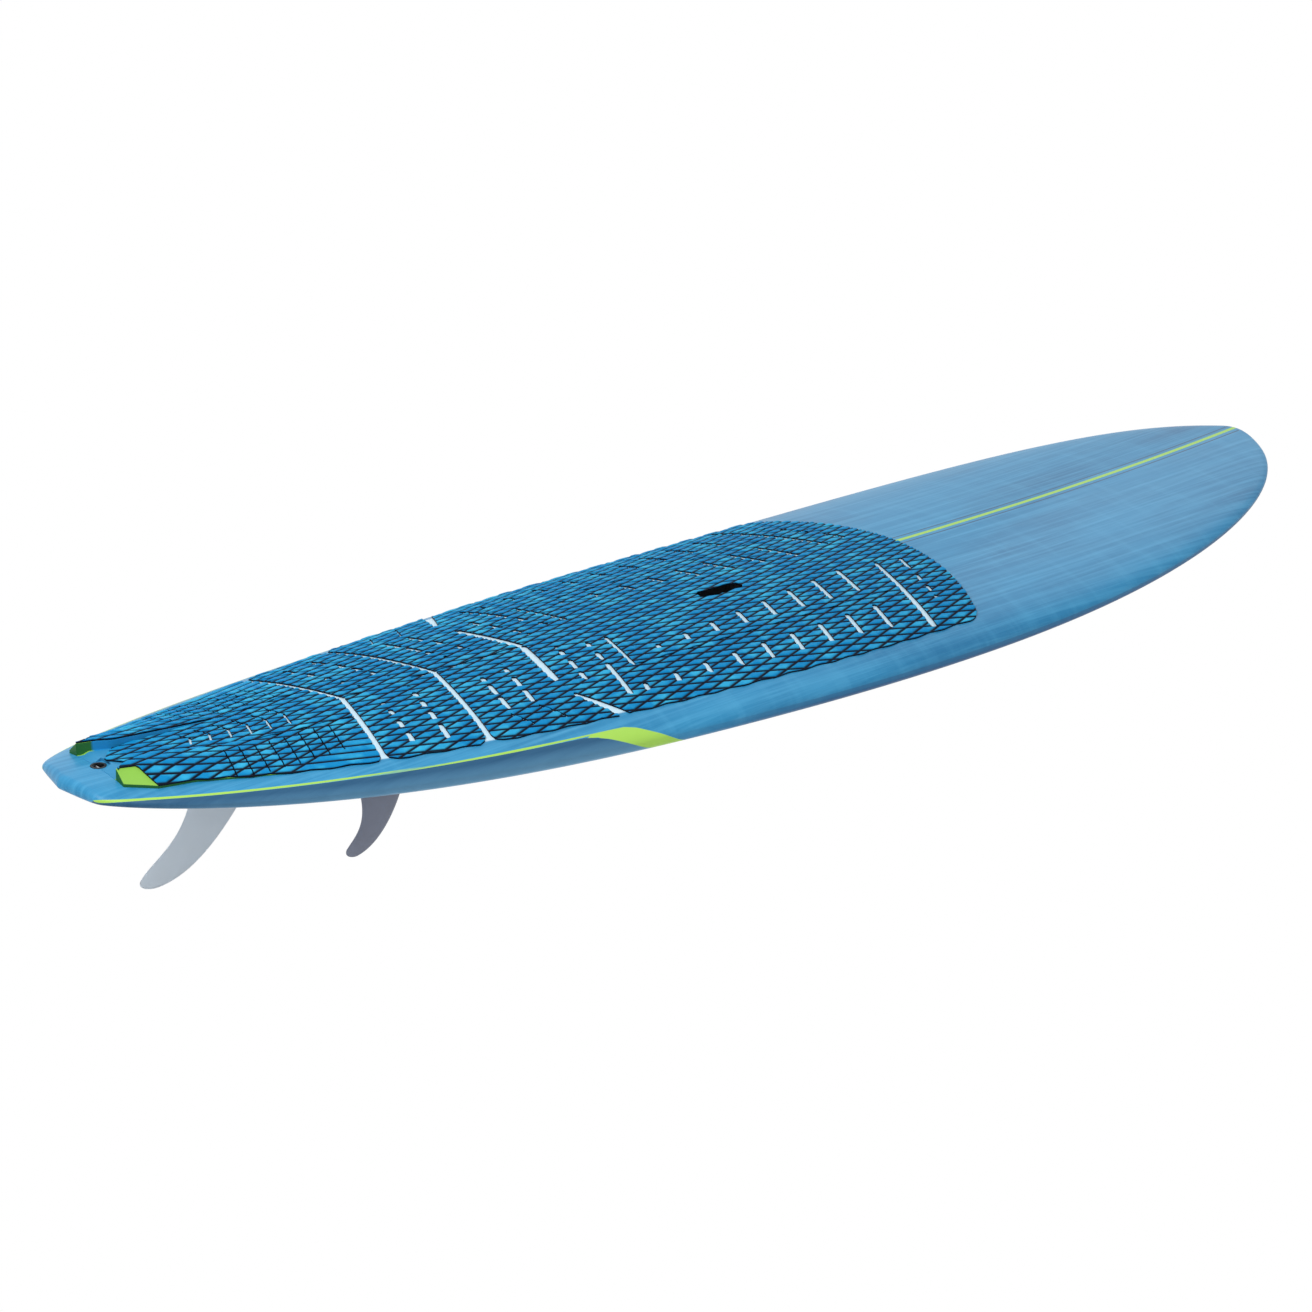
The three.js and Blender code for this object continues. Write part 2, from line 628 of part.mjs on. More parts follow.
const sink = 4; // sheets start this far inside the deck and are then trimmed to it
const kickRows = [kickRearX, 80, 90, kickRidgeX, kickEdgeX, 135, 170, 210, 250, 290, kickToeX]
  .map((x) => crossRow(x, x < archProwX + 3 ? leashOuterRadius + 3 : 0.2, kickEdgeAt(x) - 1,
    [wallAt(x), wallAt(x) + kickWallRun, kickRidgeAt(x), kickRidgeAt(x) + 18]));
const kickPort = without(
  sheetSolid(kickRows, (x, y) => deckAt(x, y) - sink,
    (x, y) => deckAt(x, y) + kickHeight(x, y) + kickToeHeight),
  clearOfBoard,
);
const kickStarboard = mirroredSolid(kickPort);
const bothKicks = kickPort.add(kickStarboard);
const clearOfKick = union(
  bothKicks, bothKicks.translate([0, 0, clearance]), bothKicks.translate([clearance, 0, clearance]));

// ---- Deck pads ----
const seamAt = (seam, y) => seamVertexX[seam] - seamSweep[seam] * Math.abs(y);
const overKick = (x) => x < kickFrontX;
const padBottom = (x, y) =>
  deckAt(x, y) + kickHeight(x, y) + (overKick(x) ? kickToeHeight + clearance : 0);
const padTop = (x, y) => padBottom(x, y) + padThickness + (overKick(x) ? 0 : clearance);
const padLow = (x, y) => padBottom(x, y) - (overKick(x) ? 0 : sink);
const wingInner = (x) => wallAt(x) + kickWallRun + 0.5;
const wingOuter = (x) => (x < kickEdgeX
  ? kickRidgeAt(x) + Math.max(0, x - kickRidgeX) / (kickEdgeX - kickRidgeX) * (kickEdgeY - kickRidgeAt(x))
  : kickEdgeAt(x));
const tailRows = [kickRearX + 2, 82, kickRidgeX, 110, kickEdgeX + 3, 150, 210, 270, kickToeX, kickFrontX, 390,
  440];
const wingRows = [
  ...tailRows.map((x) => crossRow(x, wingInner(x), Math.max(wingOuter(x), wingInner(x) + 4),
    [kickRidgeAt(x), kickRidgeAt(x) + 20])),
  [0, 1, 2, 3].map((i) => {
    const inner = wingInner(seamAt(0, 70));
    const y = lerp(inner, padEdgeY(seamAt(0, 215)), i / 3);
    return [seamAt(0, y) - padSeam / 2, y];
  }),
];
const wingPort = without(sheetSolid(wingRows, padLow, padTop), clearOfBoard, clearOfKick);

const prowHalf = (x) => Math.min(cutY(x), 3 + (x - archProwX) * (archRearY / (archRearX - archProwX)));
const archRows = [archProwX, 100, archRearX, 200, 270, kickToeX, kickFrontX, 400, 450].map((x) =>
  [-1, -0.5, 0, 0.5, 1].map((v) => [x, v * (prowHalf(x) - 0.5)]));
archRows.push([-1, -0.5, 0, 0.5, 1].map((v) => {
  const y = v * (cutY(seamAt(0, 70)) - 0.5);
  return [seamAt(0, y) - padSeam / 2, y];
}));
const tailArch = without(sheetSolid(archRows, padLow, padTop), clearOfBoard, clearOfKick);

// A pad outline on the port side, from a rear edge to a front edge, as a list that is then mirrored.
function padOutline(rearX, frontX, rearY, frontY, step) {
  const port = [];
  const inset = padCornerRadius * (1 - Math.SQRT1_2);
  port.push([rearX(0), 0], [rearX(rearY - padCornerRadius), rearY - padCornerRadius]);
  port.push([rearX(rearY) + inset, padEdgeY(rearX(rearY) + inset) - inset]);
  const last = frontX(frontY) - padCornerRadius;
  const count = Math.ceil((last - rearX(rearY) - padCornerRadius) / step);
  for (let i = 0; i <= count; i++) {
    const x = lerp(rearX(rearY) + padCornerRadius, last, i / count);
    port.push([x, padEdgeY(x)]);
  }
  port.push([frontX(frontY) - inset, padEdgeY(last) - inset]);
  for (const share of [1, 0.66, 0.33]) {
    const y = (frontY - padCornerRadius) * share;
    port.push([frontX(y), y]);
  }
  port.push([frontX(0), 0]);
  return [...port.toReversed(), ...mirrored(port).slice(1, -1).toReversed()];
}

const padLayer = boardSolid(clearance + padThickness).subtract(clearOfBoard);
const padFront = (y) => padFrontX - padFrontBow * y * y;
const slab = (outline) => padLayer.intersect(prism(outline, -60, topZ).intersect(aboveRail));
const midPad = slab(padOutline(
  (y) => seamAt(0, y) + padSeam / 2, (y) => seamAt(1, y) - padSeam / 2,
  padEdgeY(seamAt(0, 220)), padEdgeY(seamAt(1, 250)), 90));
const frontPad = slab(padOutline(
  (y) => seamAt(1, y) + padSeam / 2, padFront,
  padEdgeY(seamAt(1, 250)), padEdgeY(padFront(318)), 130))
  .subtract(prism(wellOutline(0), handleDeck - 30, handleDeck + 20));

// The front pad is divided near the ends of the handle well, so that every block is simple.
const splitRear = handleX - handleLength / 2 + padSplitInset;
const splitFront = handleX + handleLength / 2 - padSplitInset;
const padBlock = (x0, x1, y0, y1) => frontPad.intersect(box(x0, x1, y0, y1, -60, topZ));
const frontPadBlocks = {
  rear: padBlock(0, splitRear, -reachY, reachY),
  port: padBlock(splitRear + clearance, splitFront - clearance, 0, reachY),
  starboard: padBlock(splitRear + clearance, splitFront - clearance, -reachY, 0),
  front: padBlock(splitFront, boardLength, -reachY, reachY),
};

// ---- The assembly ----
const board = new THREE.Group();
function addPiece(name, solid, material) {
  const mesh = new THREE.Mesh(toGeometry(solid), material);
  mesh.name = name;
  board.add(mesh);
}

addPiece('deck_skin', deckSkin, deckPaint());
addPiece('bottom_skin', bottomSkin, deckPaint());
for (const [name, blocks] of [
  ['port', coreBlocks(1, cupPort)],
  ['starboard', coreBlocks(-1, cupStarboard)],
]) {
  for (const [part, solid] of Object.entries(blocks)) addPiece(`core_${part}_${name}`, solid, foam());
}
addPiece('stringer', stringer, finish(0xc9a26a, 0.7));
addPiece('kick_wedge_port', kickPort, greenFoam());
addPiece('kick_wedge_starboard', kickStarboard, greenFoam());
addPiece('tail_pad_port', wingPort, bluePad());
addPiece('tail_pad_centre', tailArch, bluePad());
addPiece('tail_pad_starboard', mirroredSolid(wingPort), bluePad());
addPiece('mid_pad', midPad, bluePad());
for (const [part, solid] of Object.entries(frontPadBlocks)) addPiece(`front_pad_${part}`, solid, bluePad());
addPiece('handle_cup', handleCup, blackPlastic());
addPiece('vent_body', ventBody, blackPlastic());
addPiece('vent_oring', ventRing, finish(0x101010, 0.8));
addPiece('vent_screw', ventScrew, blackPlastic());
addPiece('leash_cup', leashCup, blackPlastic());
addPiece('leash_pin', leashPin, steel());
addPiece('centre_fin_box', centreFinBox, blackPlastic());
addPiece('centre_fin', placed(centreFinBody, centreFrame), finish(0xb4bcc4, 0.25));
addPiece('centre_fin_pin', placed(finPin, centreFrame), finish(0xb08d4a, 0.35, 1));
addPiece('centre_fin_nut_plate', placed(finNut, centreFrame), finish(0xb08d4a, 0.35, 1));
addPiece('centre_fin_screw', placed(finScrew, centreFrame), steel());
for (const [name, set] of [['port', portFin], ['starboard', starboardFin]]) {
  addPiece(`side_fin_box_${name}`, set.box, blackPlastic());
  addPiece(`side_fin_${name}`, set.fin, finish(0x33353c, 0.25));
  addPiece(`side_fin_screw_${name}`, set.screw, steel());
}

const bounds = new THREE.Box3().setFromObject(board);
board.position.set(-(bounds.min.x + bounds.max.x) / 2, 0, -bounds.min.z);

export default board;
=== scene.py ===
import math

import bmesh
import bpy
import numpy as np
from bpy.props import FloatProperty, IntProperty, PointerProperty
from mathutils import Matrix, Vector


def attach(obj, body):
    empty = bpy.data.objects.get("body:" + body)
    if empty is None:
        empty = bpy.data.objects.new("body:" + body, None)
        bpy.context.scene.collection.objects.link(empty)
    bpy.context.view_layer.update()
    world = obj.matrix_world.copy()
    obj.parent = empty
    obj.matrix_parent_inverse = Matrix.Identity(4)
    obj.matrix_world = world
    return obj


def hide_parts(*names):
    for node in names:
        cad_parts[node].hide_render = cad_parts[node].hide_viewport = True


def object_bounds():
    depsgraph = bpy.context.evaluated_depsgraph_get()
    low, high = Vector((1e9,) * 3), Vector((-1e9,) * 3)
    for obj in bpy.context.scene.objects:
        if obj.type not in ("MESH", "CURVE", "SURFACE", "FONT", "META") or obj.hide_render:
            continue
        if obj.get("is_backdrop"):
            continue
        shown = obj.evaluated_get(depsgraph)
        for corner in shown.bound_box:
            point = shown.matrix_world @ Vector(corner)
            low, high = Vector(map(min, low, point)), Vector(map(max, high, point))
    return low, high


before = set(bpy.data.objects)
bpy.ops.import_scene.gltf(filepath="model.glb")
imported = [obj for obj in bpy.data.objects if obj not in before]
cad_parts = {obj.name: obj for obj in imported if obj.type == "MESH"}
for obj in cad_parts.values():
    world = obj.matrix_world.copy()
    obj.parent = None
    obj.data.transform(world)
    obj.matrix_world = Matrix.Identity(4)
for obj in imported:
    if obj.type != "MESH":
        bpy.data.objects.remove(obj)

bl_info = {
    "name": "Stand-up board looks",
    "version": (1, 0, 0),
    "blender": (4, 5, 0),
    "location": "View3D > Sidebar > Board",
    "description": "Paint, grooved deck pads, kick and fins of a nine-foot stand-up board",
    "category": "Object",
}

# ---- Sizes in mm: x runs from the tail point to the nose, +y is port, z = 0 is the lowest bottom ----
BOARD_LENGTH = 2743
HALF_WIDTH = 377
WIDE_POINT_X = 0.615 * BOARD_LENGTH
TAIL_CORNER_X = 18
TAIL_HALF_WIDTH = 80
TAIL_FAIRING = 90
TAIL_ROCKER = 72
NOSE_ROCKER = 141
LOW_POINT_X = 0.42 * BOARD_LENGTH
TAIL_ROCKER_POWER = 2.6
NOSE_ROCKER_POWER = 2.5
THICKNESS = 109
TAIL_THICKNESS = 25
NOSE_THICKNESS = 27
THICKEST_X = 0.5 * BOARD_LENGTH
TAIL_THINNING = 2.35
NOSE_THINNING = 2.05
RAIL_SHARE = 0.351
DECK_DOME = 1.908
BOTTOM_DOME = 3.4
END_RADIUS = 14
SKIN = 3
STATIONS = 200
SECTION_STEPS = 36

PAD_INSET = 50
PAD_THICKNESS = 4.2
PAD_SEAM = 11
SEAM_VERTEX_X = (533, 719)
SEAM_SWEEP = (0.275, 0.24)
PAD_FRONT_X = 1783
PAD_FRONT_BOW = 0.00087
PAD_CORNER = 16
EDGE_WAVE = 3.6
GRIP_LENGTH = 64
GRIP_WIDTH = 19.8

KICK_REAR_X = 70
KICK_PEAK = 20
KICK_PEAK_Y = 64
KICK_RIDGE_X = 102
KICK_RIDGE_Y = 73
KICK_REAR_Y = 87
KICK_EDGE_X = 115
KICK_EDGE_Y = 116
KICK_EDGE = 4
KICK_FRONT_X = 330
KICK_TOE_X = 318
KICK_TOE = 0.6
KICK_WALL_RUN = 1.5
ARCH_SUPPORT = 5
ARCH_PROW_X = 87
ARCH_REAR_X = 125
ARCH_REAR_Y = 42
ARCH_SPLAY = 0.078

LINE_RISE = 34.2
LINE_REACH = 200

LEASH_X = 74
LEASH_RADIUS = 13
HANDLE_X = 1351
HANDLE_LENGTH = 108
HANDLE_WIDTH = 40
HANDLE_FLANGE = 6

FIN_X = 311
FIN_THICKNESS = 9
FIN_TIP = (-128, -188.5)
SIDE_FIN_X = 487
SIDE_FIN_Y = 195
SIDE_FIN_TOE_IN = 2.5
SIDE_FIN_CANT = 5
SIDE_FIN_THICKNESS = 6.4
SIDE_FIN_TIP = (-62, -107.5)

# ---- Where the board's own corner sits in the frame, in metres ----
FRAME_X = -1.3715025
FRAME_Z = 0.1433133

# ---- Paint ----
DECK_BLUE = (44, 138, 184)
DECK_PALE = (92, 178, 218)
# Deep blue: the blotches of the brushed paint, and also the painted shade on the forward rail's underside.
DECK_DEEP = (20, 92, 138)
UNDER_PADS = (205, 232, 244)
NAVY = (8, 70, 108)
NAVY_LOW = (112, 168, 200)
LINE_GREEN = (172, 218, 88)
LINE_DARK = (38, 78, 110)
PAD_BLUE = (0, 134, 192)
# Painted shade: the near-black navy laid in the bottoms of the pad grooves.
PAD_GROOVE_SHADE = (0, 8, 28)
# Painted highlight: the pale cyan laid in patches on the pad tops.
PAD_HIGHLIGHT = (80, 216, 246)
KICK_GREEN = (134, 190, 58)
# Painted shade: the dark green laid on the wedges' steep walls.
KICK_WALL_SHADE = (16, 96, 26)
SLIT_FLOOR = -4  # mm, below the pad, so the slits go right through
WING_SLIT_FLOOR = 0.9  # mm, so the slits over the green wedges stay blind
KICK_GREEN_END = 0.092  # m along the board; ahead of it the arch walls are pad blue


def linear(colour, alpha=1.0):
    """An sRGB colour of 0 to 255 as scene-linear red, green, blue and alpha."""
    parts = [c / 255 for c in colour]
    return tuple(p / 12.92 if p <= 0.04045 else ((p + 0.055) / 1.055) ** 2.4 for p in parts) + (alpha,)


# ---- The board's shape ----
def bezier(points, count):
    t = np.linspace(0, 1, count)[:, None]
    a, b, c, d = (np.array(p, float) for p in points)
    return (1 - t) ** 3 * a + 3 * (1 - t) ** 2 * t * b + 3 * (1 - t) * t**2 * c + t**3 * d


PLAN = np.vstack(
    [
        bezier(
            [
                (TAIL_CORNER_X, TAIL_HALF_WIDTH),
                (TAIL_CORNER_X + 2, TAIL_HALF_WIDTH + 44),
                (0.16 * BOARD_LENGTH, HALF_WIDTH),
                (WIDE_POINT_X, HALF_WIDTH),
            ],
            400,
        ),
        bezier(
            [
                (WIDE_POINT_X, HALF_WIDTH),
                (0.99 * BOARD_LENGTH, HALF_WIDTH),
                (BOARD_LENGTH, 34),
                (BOARD_LENGTH, 0),
            ],
            400,
        )[1:],
    ]
)


def half_width(x):
    return np.interp(x, PLAN[:, 0], PLAN[:, 1])


def bottom(x):
    x = np.asarray(x, float)
    tail = TAIL_ROCKER * (np.maximum(LOW_POINT_X - x, 0) / LOW_POINT_X) ** TAIL_ROCKER_POWER
    nose = np.maximum(x - LOW_POINT_X, 0) / (BOARD_LENGTH - LOW_POINT_X)
    return tail + NOSE_ROCKER * nose**NOSE_ROCKER_POWER


def thickness(x):
    x = np.asarray(x, float)
    rear = x < THICKEST_X
    end = np.where(rear, TAIL_THICKNESS, NOSE_THICKNESS)
    power = np.where(rear, TAIL_THINNING, NOSE_THINNING)
    reach = np.where(rear, THICKEST_X, BOARD_LENGTH - THICKEST_X)
    return THICKNESS - (THICKNESS - end) * (np.abs(x - THICKEST_X) / reach) ** power


def rail_height(x):
    return bottom(x) + RAIL_SHARE * thickness(x)


def tail_fade(along):
    return TAIL_CORNER_X * np.maximum(0, 1 - along / TAIL_FAIRING)


def deck(x, y):
    """Height of the deck over a plan point."""
    x = np.asarray(x, float)
    along = x
    for _ in range(6):
        across = np.minimum(1, np.abs(y) / half_width(along + tail_fade(along)))
        along = np.maximum(0, x - tail_fade(along) * across)
    dome = np.maximum(0, 1 - across**DECK_DOME) ** (1 / DECK_DOME)
    return rail_height(x) + (1 - RAIL_SHARE) * thickness(x) * dome


def underside(x, y):
    across = np.minimum(1, np.abs(y) / half_width(x))
    dome = np.maximum(0, 1 - across**BOTTOM_DOME) ** (1 / BOTTOM_DOME)
    return rail_height(x) - RAIL_SHARE * thickness(x) * dome


def half_section(along, from_end, offset, upper):
    """Points of one half section of the board grown by offset, from starboard to port."""
    steps = np.linspace(-1, 1, 2 * SECTION_STEPS + 1)
    across = np.sin(steps * math.pi / 2)
    to_end = min(from_end, BOARD_LENGTH + 2 * offset - from_end) / (END_RADIUS + offset)
    roundness = math.sqrt(max(0, 1 - (1 - to_end) ** 2)) if to_end < 1 else 1
    plan = 0 if along >= BOARD_LENGTH else float(half_width(along + tail_fade(along)))
    wide = plan + offset * min(1, plan / 60)
    x = from_end - offset + tail_fade(along) * np.abs(across)
    share, power = (1 - RAIL_SHARE, DECK_DOME) if upper else (RAIL_SHARE, BOTTOM_DOME)
    reach = (share * thickness(x) + offset) * roundness
    height = reach * np.maximum(0, 1 - np.abs(across) ** power) ** (1 / power)
    z = rail_height(x) + (height if upper else -height)
    return np.stack([x, across * wide, z], 1)


# ---- Making meshes ----
def to_frame(points):
    """Board millimetres to metres in the frame."""
    points = np.array(points, float) / 1000
    points[:, 0] += FRAME_X
    points[:, 2] += FRAME_Z
    return points


def new_piece(name, points, faces, framed=True):
    mesh = bpy.data.meshes.new(name)
    mesh.from_pydata(to_frame(points).tolist() if framed else np.asarray(points).tolist(), [], faces)
    piece = bpy.data.objects.new(name, mesh)
    bpy.context.scene.collection.objects.link(piece)
    face_outward(piece)
    return piece


def face_outward(piece):
    work = bmesh.new()
    work.from_mesh(piece.data)
    bmesh.ops.dissolve_degenerate(work, dist=1e-7, edges=work.edges)
    bmesh.ops.recalc_face_normals(work, faces=work.faces)
    if work.calc_volume(signed=True) < 0:
        bmesh.ops.reverse_faces(work, faces=work.faces)
    work.to_mesh(piece.data)
    work.free()


def smooth(piece, degrees=35):
    piece.data.shade_smooth()
    piece.data.set_sharp_from_angle(angle=math.radians(degrees))


def loft(rings, closed_ends=True):
    """Points and faces of a tube through equal rings, with strips across its two ends."""
    count = len(rings[0])
    faces = []
    for i in range(len(rings) - 1):
        for j in range(count):
            k = (j + 1) % count
            faces.append((i * count + j, i * count + k, (i + 1) * count + k, (i + 1) * count + j))
    if closed_ends:
        last = (len(rings) - 1) * count
        for j in range(count // 2 - 1):
            k = count - 1 - j
            faces.append((j, k, k - 1, j + 1))
            faces.append((last + j, last + j + 1, last + k - 1, last + k))
    return np.vstack(rings), faces


def prism(name, outline, low, high):
    """A flat-ended solid over a plan outline, left in board millimetres."""
    count = len(outline)
    points = [(x, y, low) for x, y in outline] + [(x, y, high) for x, y in outline]
    faces = [tuple(range(count))[::-1], tuple(range(count, 2 * count))]
    faces += [(j, (j + 1) % count, (j + 1) % count + count, j + count) for j in range(count)]
    return new_piece(name, points, faces, framed=False)


def box(name, x0, x1, y0, y1, z0, z1):
    return prism(name, [(x0, y0), (x1, y0), (x1, y1), (x0, y1)], z0, z1)


def combine(piece, operation, *others):
    """Cuts away, keeps or adds other solids, which are used up."""
    for other in others:
        step = piece.modifiers.new("combine", "BOOLEAN")
        step.operation = operation
        step.solver = "MANIFOLD"
        step.object = other
        bpy.context.view_layer.update()
        made = bpy.data.meshes.new_from_object(piece.evaluated_get(bpy.context.evaluated_depsgraph_get()))
        piece.modifiers.remove(step)
        piece.data = made
        bpy.data.objects.remove(other)
    return piece


def move_points(piece, change):
    """Replaces every point by change(points), points being an array of x, y, z rows."""
    flat = np.empty(len(piece.data.vertices) * 3)
    piece.data.vertices.foreach_get("co", flat)
    piece.data.vertices.foreach_set("co", change(flat.reshape(-1, 3)).ravel())
    piece.data.update()


def store(piece, name, values):
    layer = piece.data.attributes.new(name, "FLOAT", "POINT")
    layer.data.foreach_set("value", np.asarray(values, np.float32))


def rounded_slot(length, width, x, y=0.0, steps=12):
    radius = width / 2
    turn = np.linspace(-math.pi / 2, math.pi / 2, steps)
    half = [(length / 2 - radius + radius * math.cos(a), radius * math.sin(a)) for a in turn]
    return [(x + px, y + py) for px, py in half] + [(x - px, y - py) for px, py in half]


def paint(piece, material):
    piece.data.materials.clear()
    piece.data.materials.append(material)
    return piece


# ---- Shader helpers ----
class Graph:
    """Short ways of writing a shader node tree."""

    def __init__(self, tree):
        self.tree = tree

    def node(self, kind, settings=None, **inputs):
        made = self.tree.nodes.new(kind)
        for key, value in (settings or {}).items():
            setattr(made, key, value)
        for key, value in inputs.items():
            self.feed(made.inputs[key.replace("_", " ")], value)
        return made

    def feed(self, socket, value):
        if isinstance(value, bpy.types.NodeSocket):
            self.tree.links.new(value, socket)
        else:
            socket.default_value = value

    def math(self, operation, a, b=None, c=None):
        made = self.tree.nodes.new("ShaderNodeMath")
        made.operation = operation
        for socket, value in zip(made.inputs, (a, b, c)):
            if value is not None:
                self.feed(socket, value)
        return made.outputs[0]

    def mix(self, factor, a, b):
        made = self.tree.nodes.new("ShaderNodeMix")
        made.data_type = "RGBA"
        self.feed(made.inputs[0], factor)
        self.feed(made.inputs[6], a)
        self.feed(made.inputs[7], b)
        return made.outputs[2]

    def ramp(self, value, low, high):
        """0 below low, 1 above high."""
        made = self.tree.nodes.new("ShaderNodeMapRange")
        self.feed(made.inputs[0], value)
        self.feed(made.inputs[1], low)
        self.feed(made.inputs[2], high)
        return made.outputs[0]

    def attribute(self, name):
        made = self.tree.nodes.new("ShaderNodeAttribute")
        made.attribute_name = name
        return made.outputs["Fac"]


def new_material(name):
    material = bpy.data.materials.new(name)
    material.use_nodes = True
    tree = material.node_tree
    shader = tree.nodes["Principled BSDF"]
    return material, Graph(tree), shader


def object_place(g):
    """The three object coordinates, as separate outputs."""
    return g.node("ShaderNodeSeparateXYZ", Vector=g.node("ShaderNodeTexCoord").outputs["Object"])


def facing_up(g):
    """1 where the surface faces straight up, -1 where it faces straight down."""
    normal = g.node("ShaderNodeNewGeometry").outputs["Normal"]
    return g.node("ShaderNodeSeparateXYZ", Vector=normal).outputs[2]


def background_rays(g):
    """1 for the rays that show the white background: seen straight, in a gloss or through a clear piece."""
    path = g.node("ShaderNodeLightPath").outputs
    mirrored = g.math("MAXIMUM", path["Is Glossy Ray"], path["Is Transmission Ray"])
    return g.math("MAXIMUM", path["Is Camera Ray"], mirrored)


def brushed_group():
    """Lengthwise brush streaks over a blotchy wash: a colour, and a small height."""
    found = bpy.data.node_groups.get("Brushed Paint")
    if found:
        return found
    tree = bpy.data.node_groups.new("Brushed Paint", "ShaderNodeTree")
    for name, kind in (("Base", "NodeSocketColor"), ("Pale", "NodeSocketColor"), ("Deep", "NodeSocketColor")):
        tree.interface.new_socket(name, in_out="INPUT", socket_type=kind)
    tree.interface.new_socket("Colour", in_out="OUTPUT", socket_type="NodeSocketColor")
    tree.interface.new_socket("Streak", in_out="OUTPUT", socket_type="NodeSocketFloat")
    g = Graph(tree)
    inside = tree.nodes.new("NodeGroupInput")
    outside = tree.nodes.new("NodeGroupOutput")
    place = g.node("ShaderNodeTexCoord").outputs["Object"]
    long = g.node("ShaderNodeMapping", Vector=place, Scale=(1.1, 42.0, 6.0)).outputs[0]
    streak = g.node("ShaderNodeTexNoise", Vector=long, Scale=3.0, Detail=5.0, Roughness=0.62).outputs["Fac"]
    wash = g.node("ShaderNodeMapping", Vector=place, Scale=(1.6, 4.5, 2.0)).outputs[0]
    blotch = g.node("ShaderNodeTexNoise", Vector=wash, Scale=1.6, Detail=3.0, Roughness=0.5).outputs["Fac"]
    across = g.node("ShaderNodeMapping", Vector=place, Scale=(16.0, 2.2, 2.0)).outputs[0]
    cross = g.node("ShaderNodeTexNoise", Vector=across, Scale=2.0, Detail=4.0, Roughness=0.6).outputs["Fac"]
    pale = g.math("MULTIPLY", g.ramp(streak, 0.42, 0.75), 0.55)
    deep = g.math("MULTIPLY", g.ramp(blotch, 0.42, 0.72), 0.55)
    worn = g.math("MULTIPLY", g.ramp(cross, 0.5, 0.8), 0.25)
    colour = g.mix(deep, inside.outputs["Base"], inside.outputs["Deep"])
    colour = g.mix(pale, colour, inside.outputs["Pale"])
    colour = g.mix(worn, colour, inside.outputs["Pale"])
    g.feed(outside.inputs["Colour"], colour)
    g.feed(outside.inputs["Streak"], streak)
    return tree


def brushed(g):
    node = g.tree.nodes.new("ShaderNodeGroup")
    node.node_tree = brushed_group()
    g.feed(node.inputs["Base"], linear(DECK_BLUE))
    g.feed(node.inputs["Pale"], linear(DECK_PALE))
    g.feed(node.inputs["Deep"], linear(DECK_DEEP))
    return node.outputs["Colour"], node.outputs["Streak"]


def board_paint():
    """Brushed blue, with the centre stripes, the green rail line, its flared end and the navy under it, and
    painted shade: deep blue where the forward rail faces down.
    """
    material, g, shader = new_material("board paint")
    colour, streak = brushed(g)
    place = object_place(g)
    side = g.math("ABSOLUTE", place.outputs[1])
    ahead = g.ramp(place.outputs[0], (PAD_FRONT_X - 30) / 1000 + FRAME_X, (PAD_FRONT_X - 29) / 1000 + FRAME_X)
    above = g.ramp(g.attribute("girth"), -0.02, -0.021)
    deck_only = g.math("MULTIPLY", ahead, above)
    beside = g.math("ABSOLUTE", g.math("SUBTRACT", side, 0.016))
    dark = g.math("SUBTRACT", 1.0, g.ramp(beside, 0.0013, 0.0019))
    green = g.math("SUBTRACT", 1.0, g.ramp(side, 0.0044, 0.005))
    colour = g.mix(g.math("MULTIPLY", dark, deck_only), colour, linear(LINE_DARK))
    colour = g.mix(g.math("MULTIPLY", green, deck_only), colour, linear(LINE_GREEN))
    # Painted shade: from about 0.9 m from the tail onward, full by 1.3 m, the paint turns deep blue where the
    # surface faces down.
    slope = facing_up(g)
    forward = g.ramp(place.outputs[0], 0.9 + FRAME_X, 1.3 + FRAME_X)
    painted_rail_shade = g.math("MULTIPLY", g.ramp(slope, 0.2, -0.3), forward)
    colour = g.mix(painted_rail_shade, colour, linear(DECK_DEEP))
    shade = g.ramp(g.attribute("navy"), -0.0004, 0.0004)
    covered = g.ramp(g.attribute("covered"), 0.0, 0.004)
    colour = g.mix(g.math("MULTIPLY", covered, above), colour, linear(UNDER_PADS))
    lower = g.math("ADD", g.ramp(g.attribute("girth"), 0.012, 0.062), g.math("MULTIPLY", streak, 0.2))
    navy = g.mix(lower, linear(NAVY), linear(NAVY_LOW))
    colour = g.mix(shade, colour, navy)
    colour = g.mix(g.ramp(g.attribute("band"), -0.0004, 0.0004), colour, linear(LINE_GREEN))
    g.feed(shader.inputs["Base Color"], colour)
    shader.inputs["Roughness"].default_value = 0.42
    shader.inputs["Specular IOR Level"].default_value = 0.22
    shader.inputs["Coat Weight"].default_value = 0.12
    shader.inputs["Coat Roughness"].default_value = 0.16
    bump = g.node("ShaderNodeBump", Height=streak, Strength=0.08, Distance=0.0006)
    g.feed(shader.inputs["Normal"], bump.outputs[0])
    return material


def foam_group():
    """Fine closed-cell speckle, shared by every foam piece."""
    found = bpy.data.node_groups.get("Foam Skin")
    if found:
        return found
    tree = bpy.data.node_groups.new("Foam Skin", "ShaderNodeTree")
    tree.interface.new_socket("Bump", in_out="OUTPUT", socket_type="NodeSocketVector")
    g = Graph(tree)
    outside = tree.nodes.new("NodeGroupOutput")
    place = g.node("ShaderNodeTexCoord").outputs["Object"]
    grain = g.node("ShaderNodeTexNoise", Vector=place, Scale=900.0, Detail=2.0).outputs["Fac"]
    bump = g.node("ShaderNodeBump", Height=grain, Strength=0.25, Distance=0.0004)
    g.feed(outside.inputs["Bump"], bump.outputs[0])
    return tree


def foam_bump(g):
    node = g.tree.nodes.new("ShaderNodeGroup")
    node.node_tree = foam_group()
    return node.outputs["Bump"]


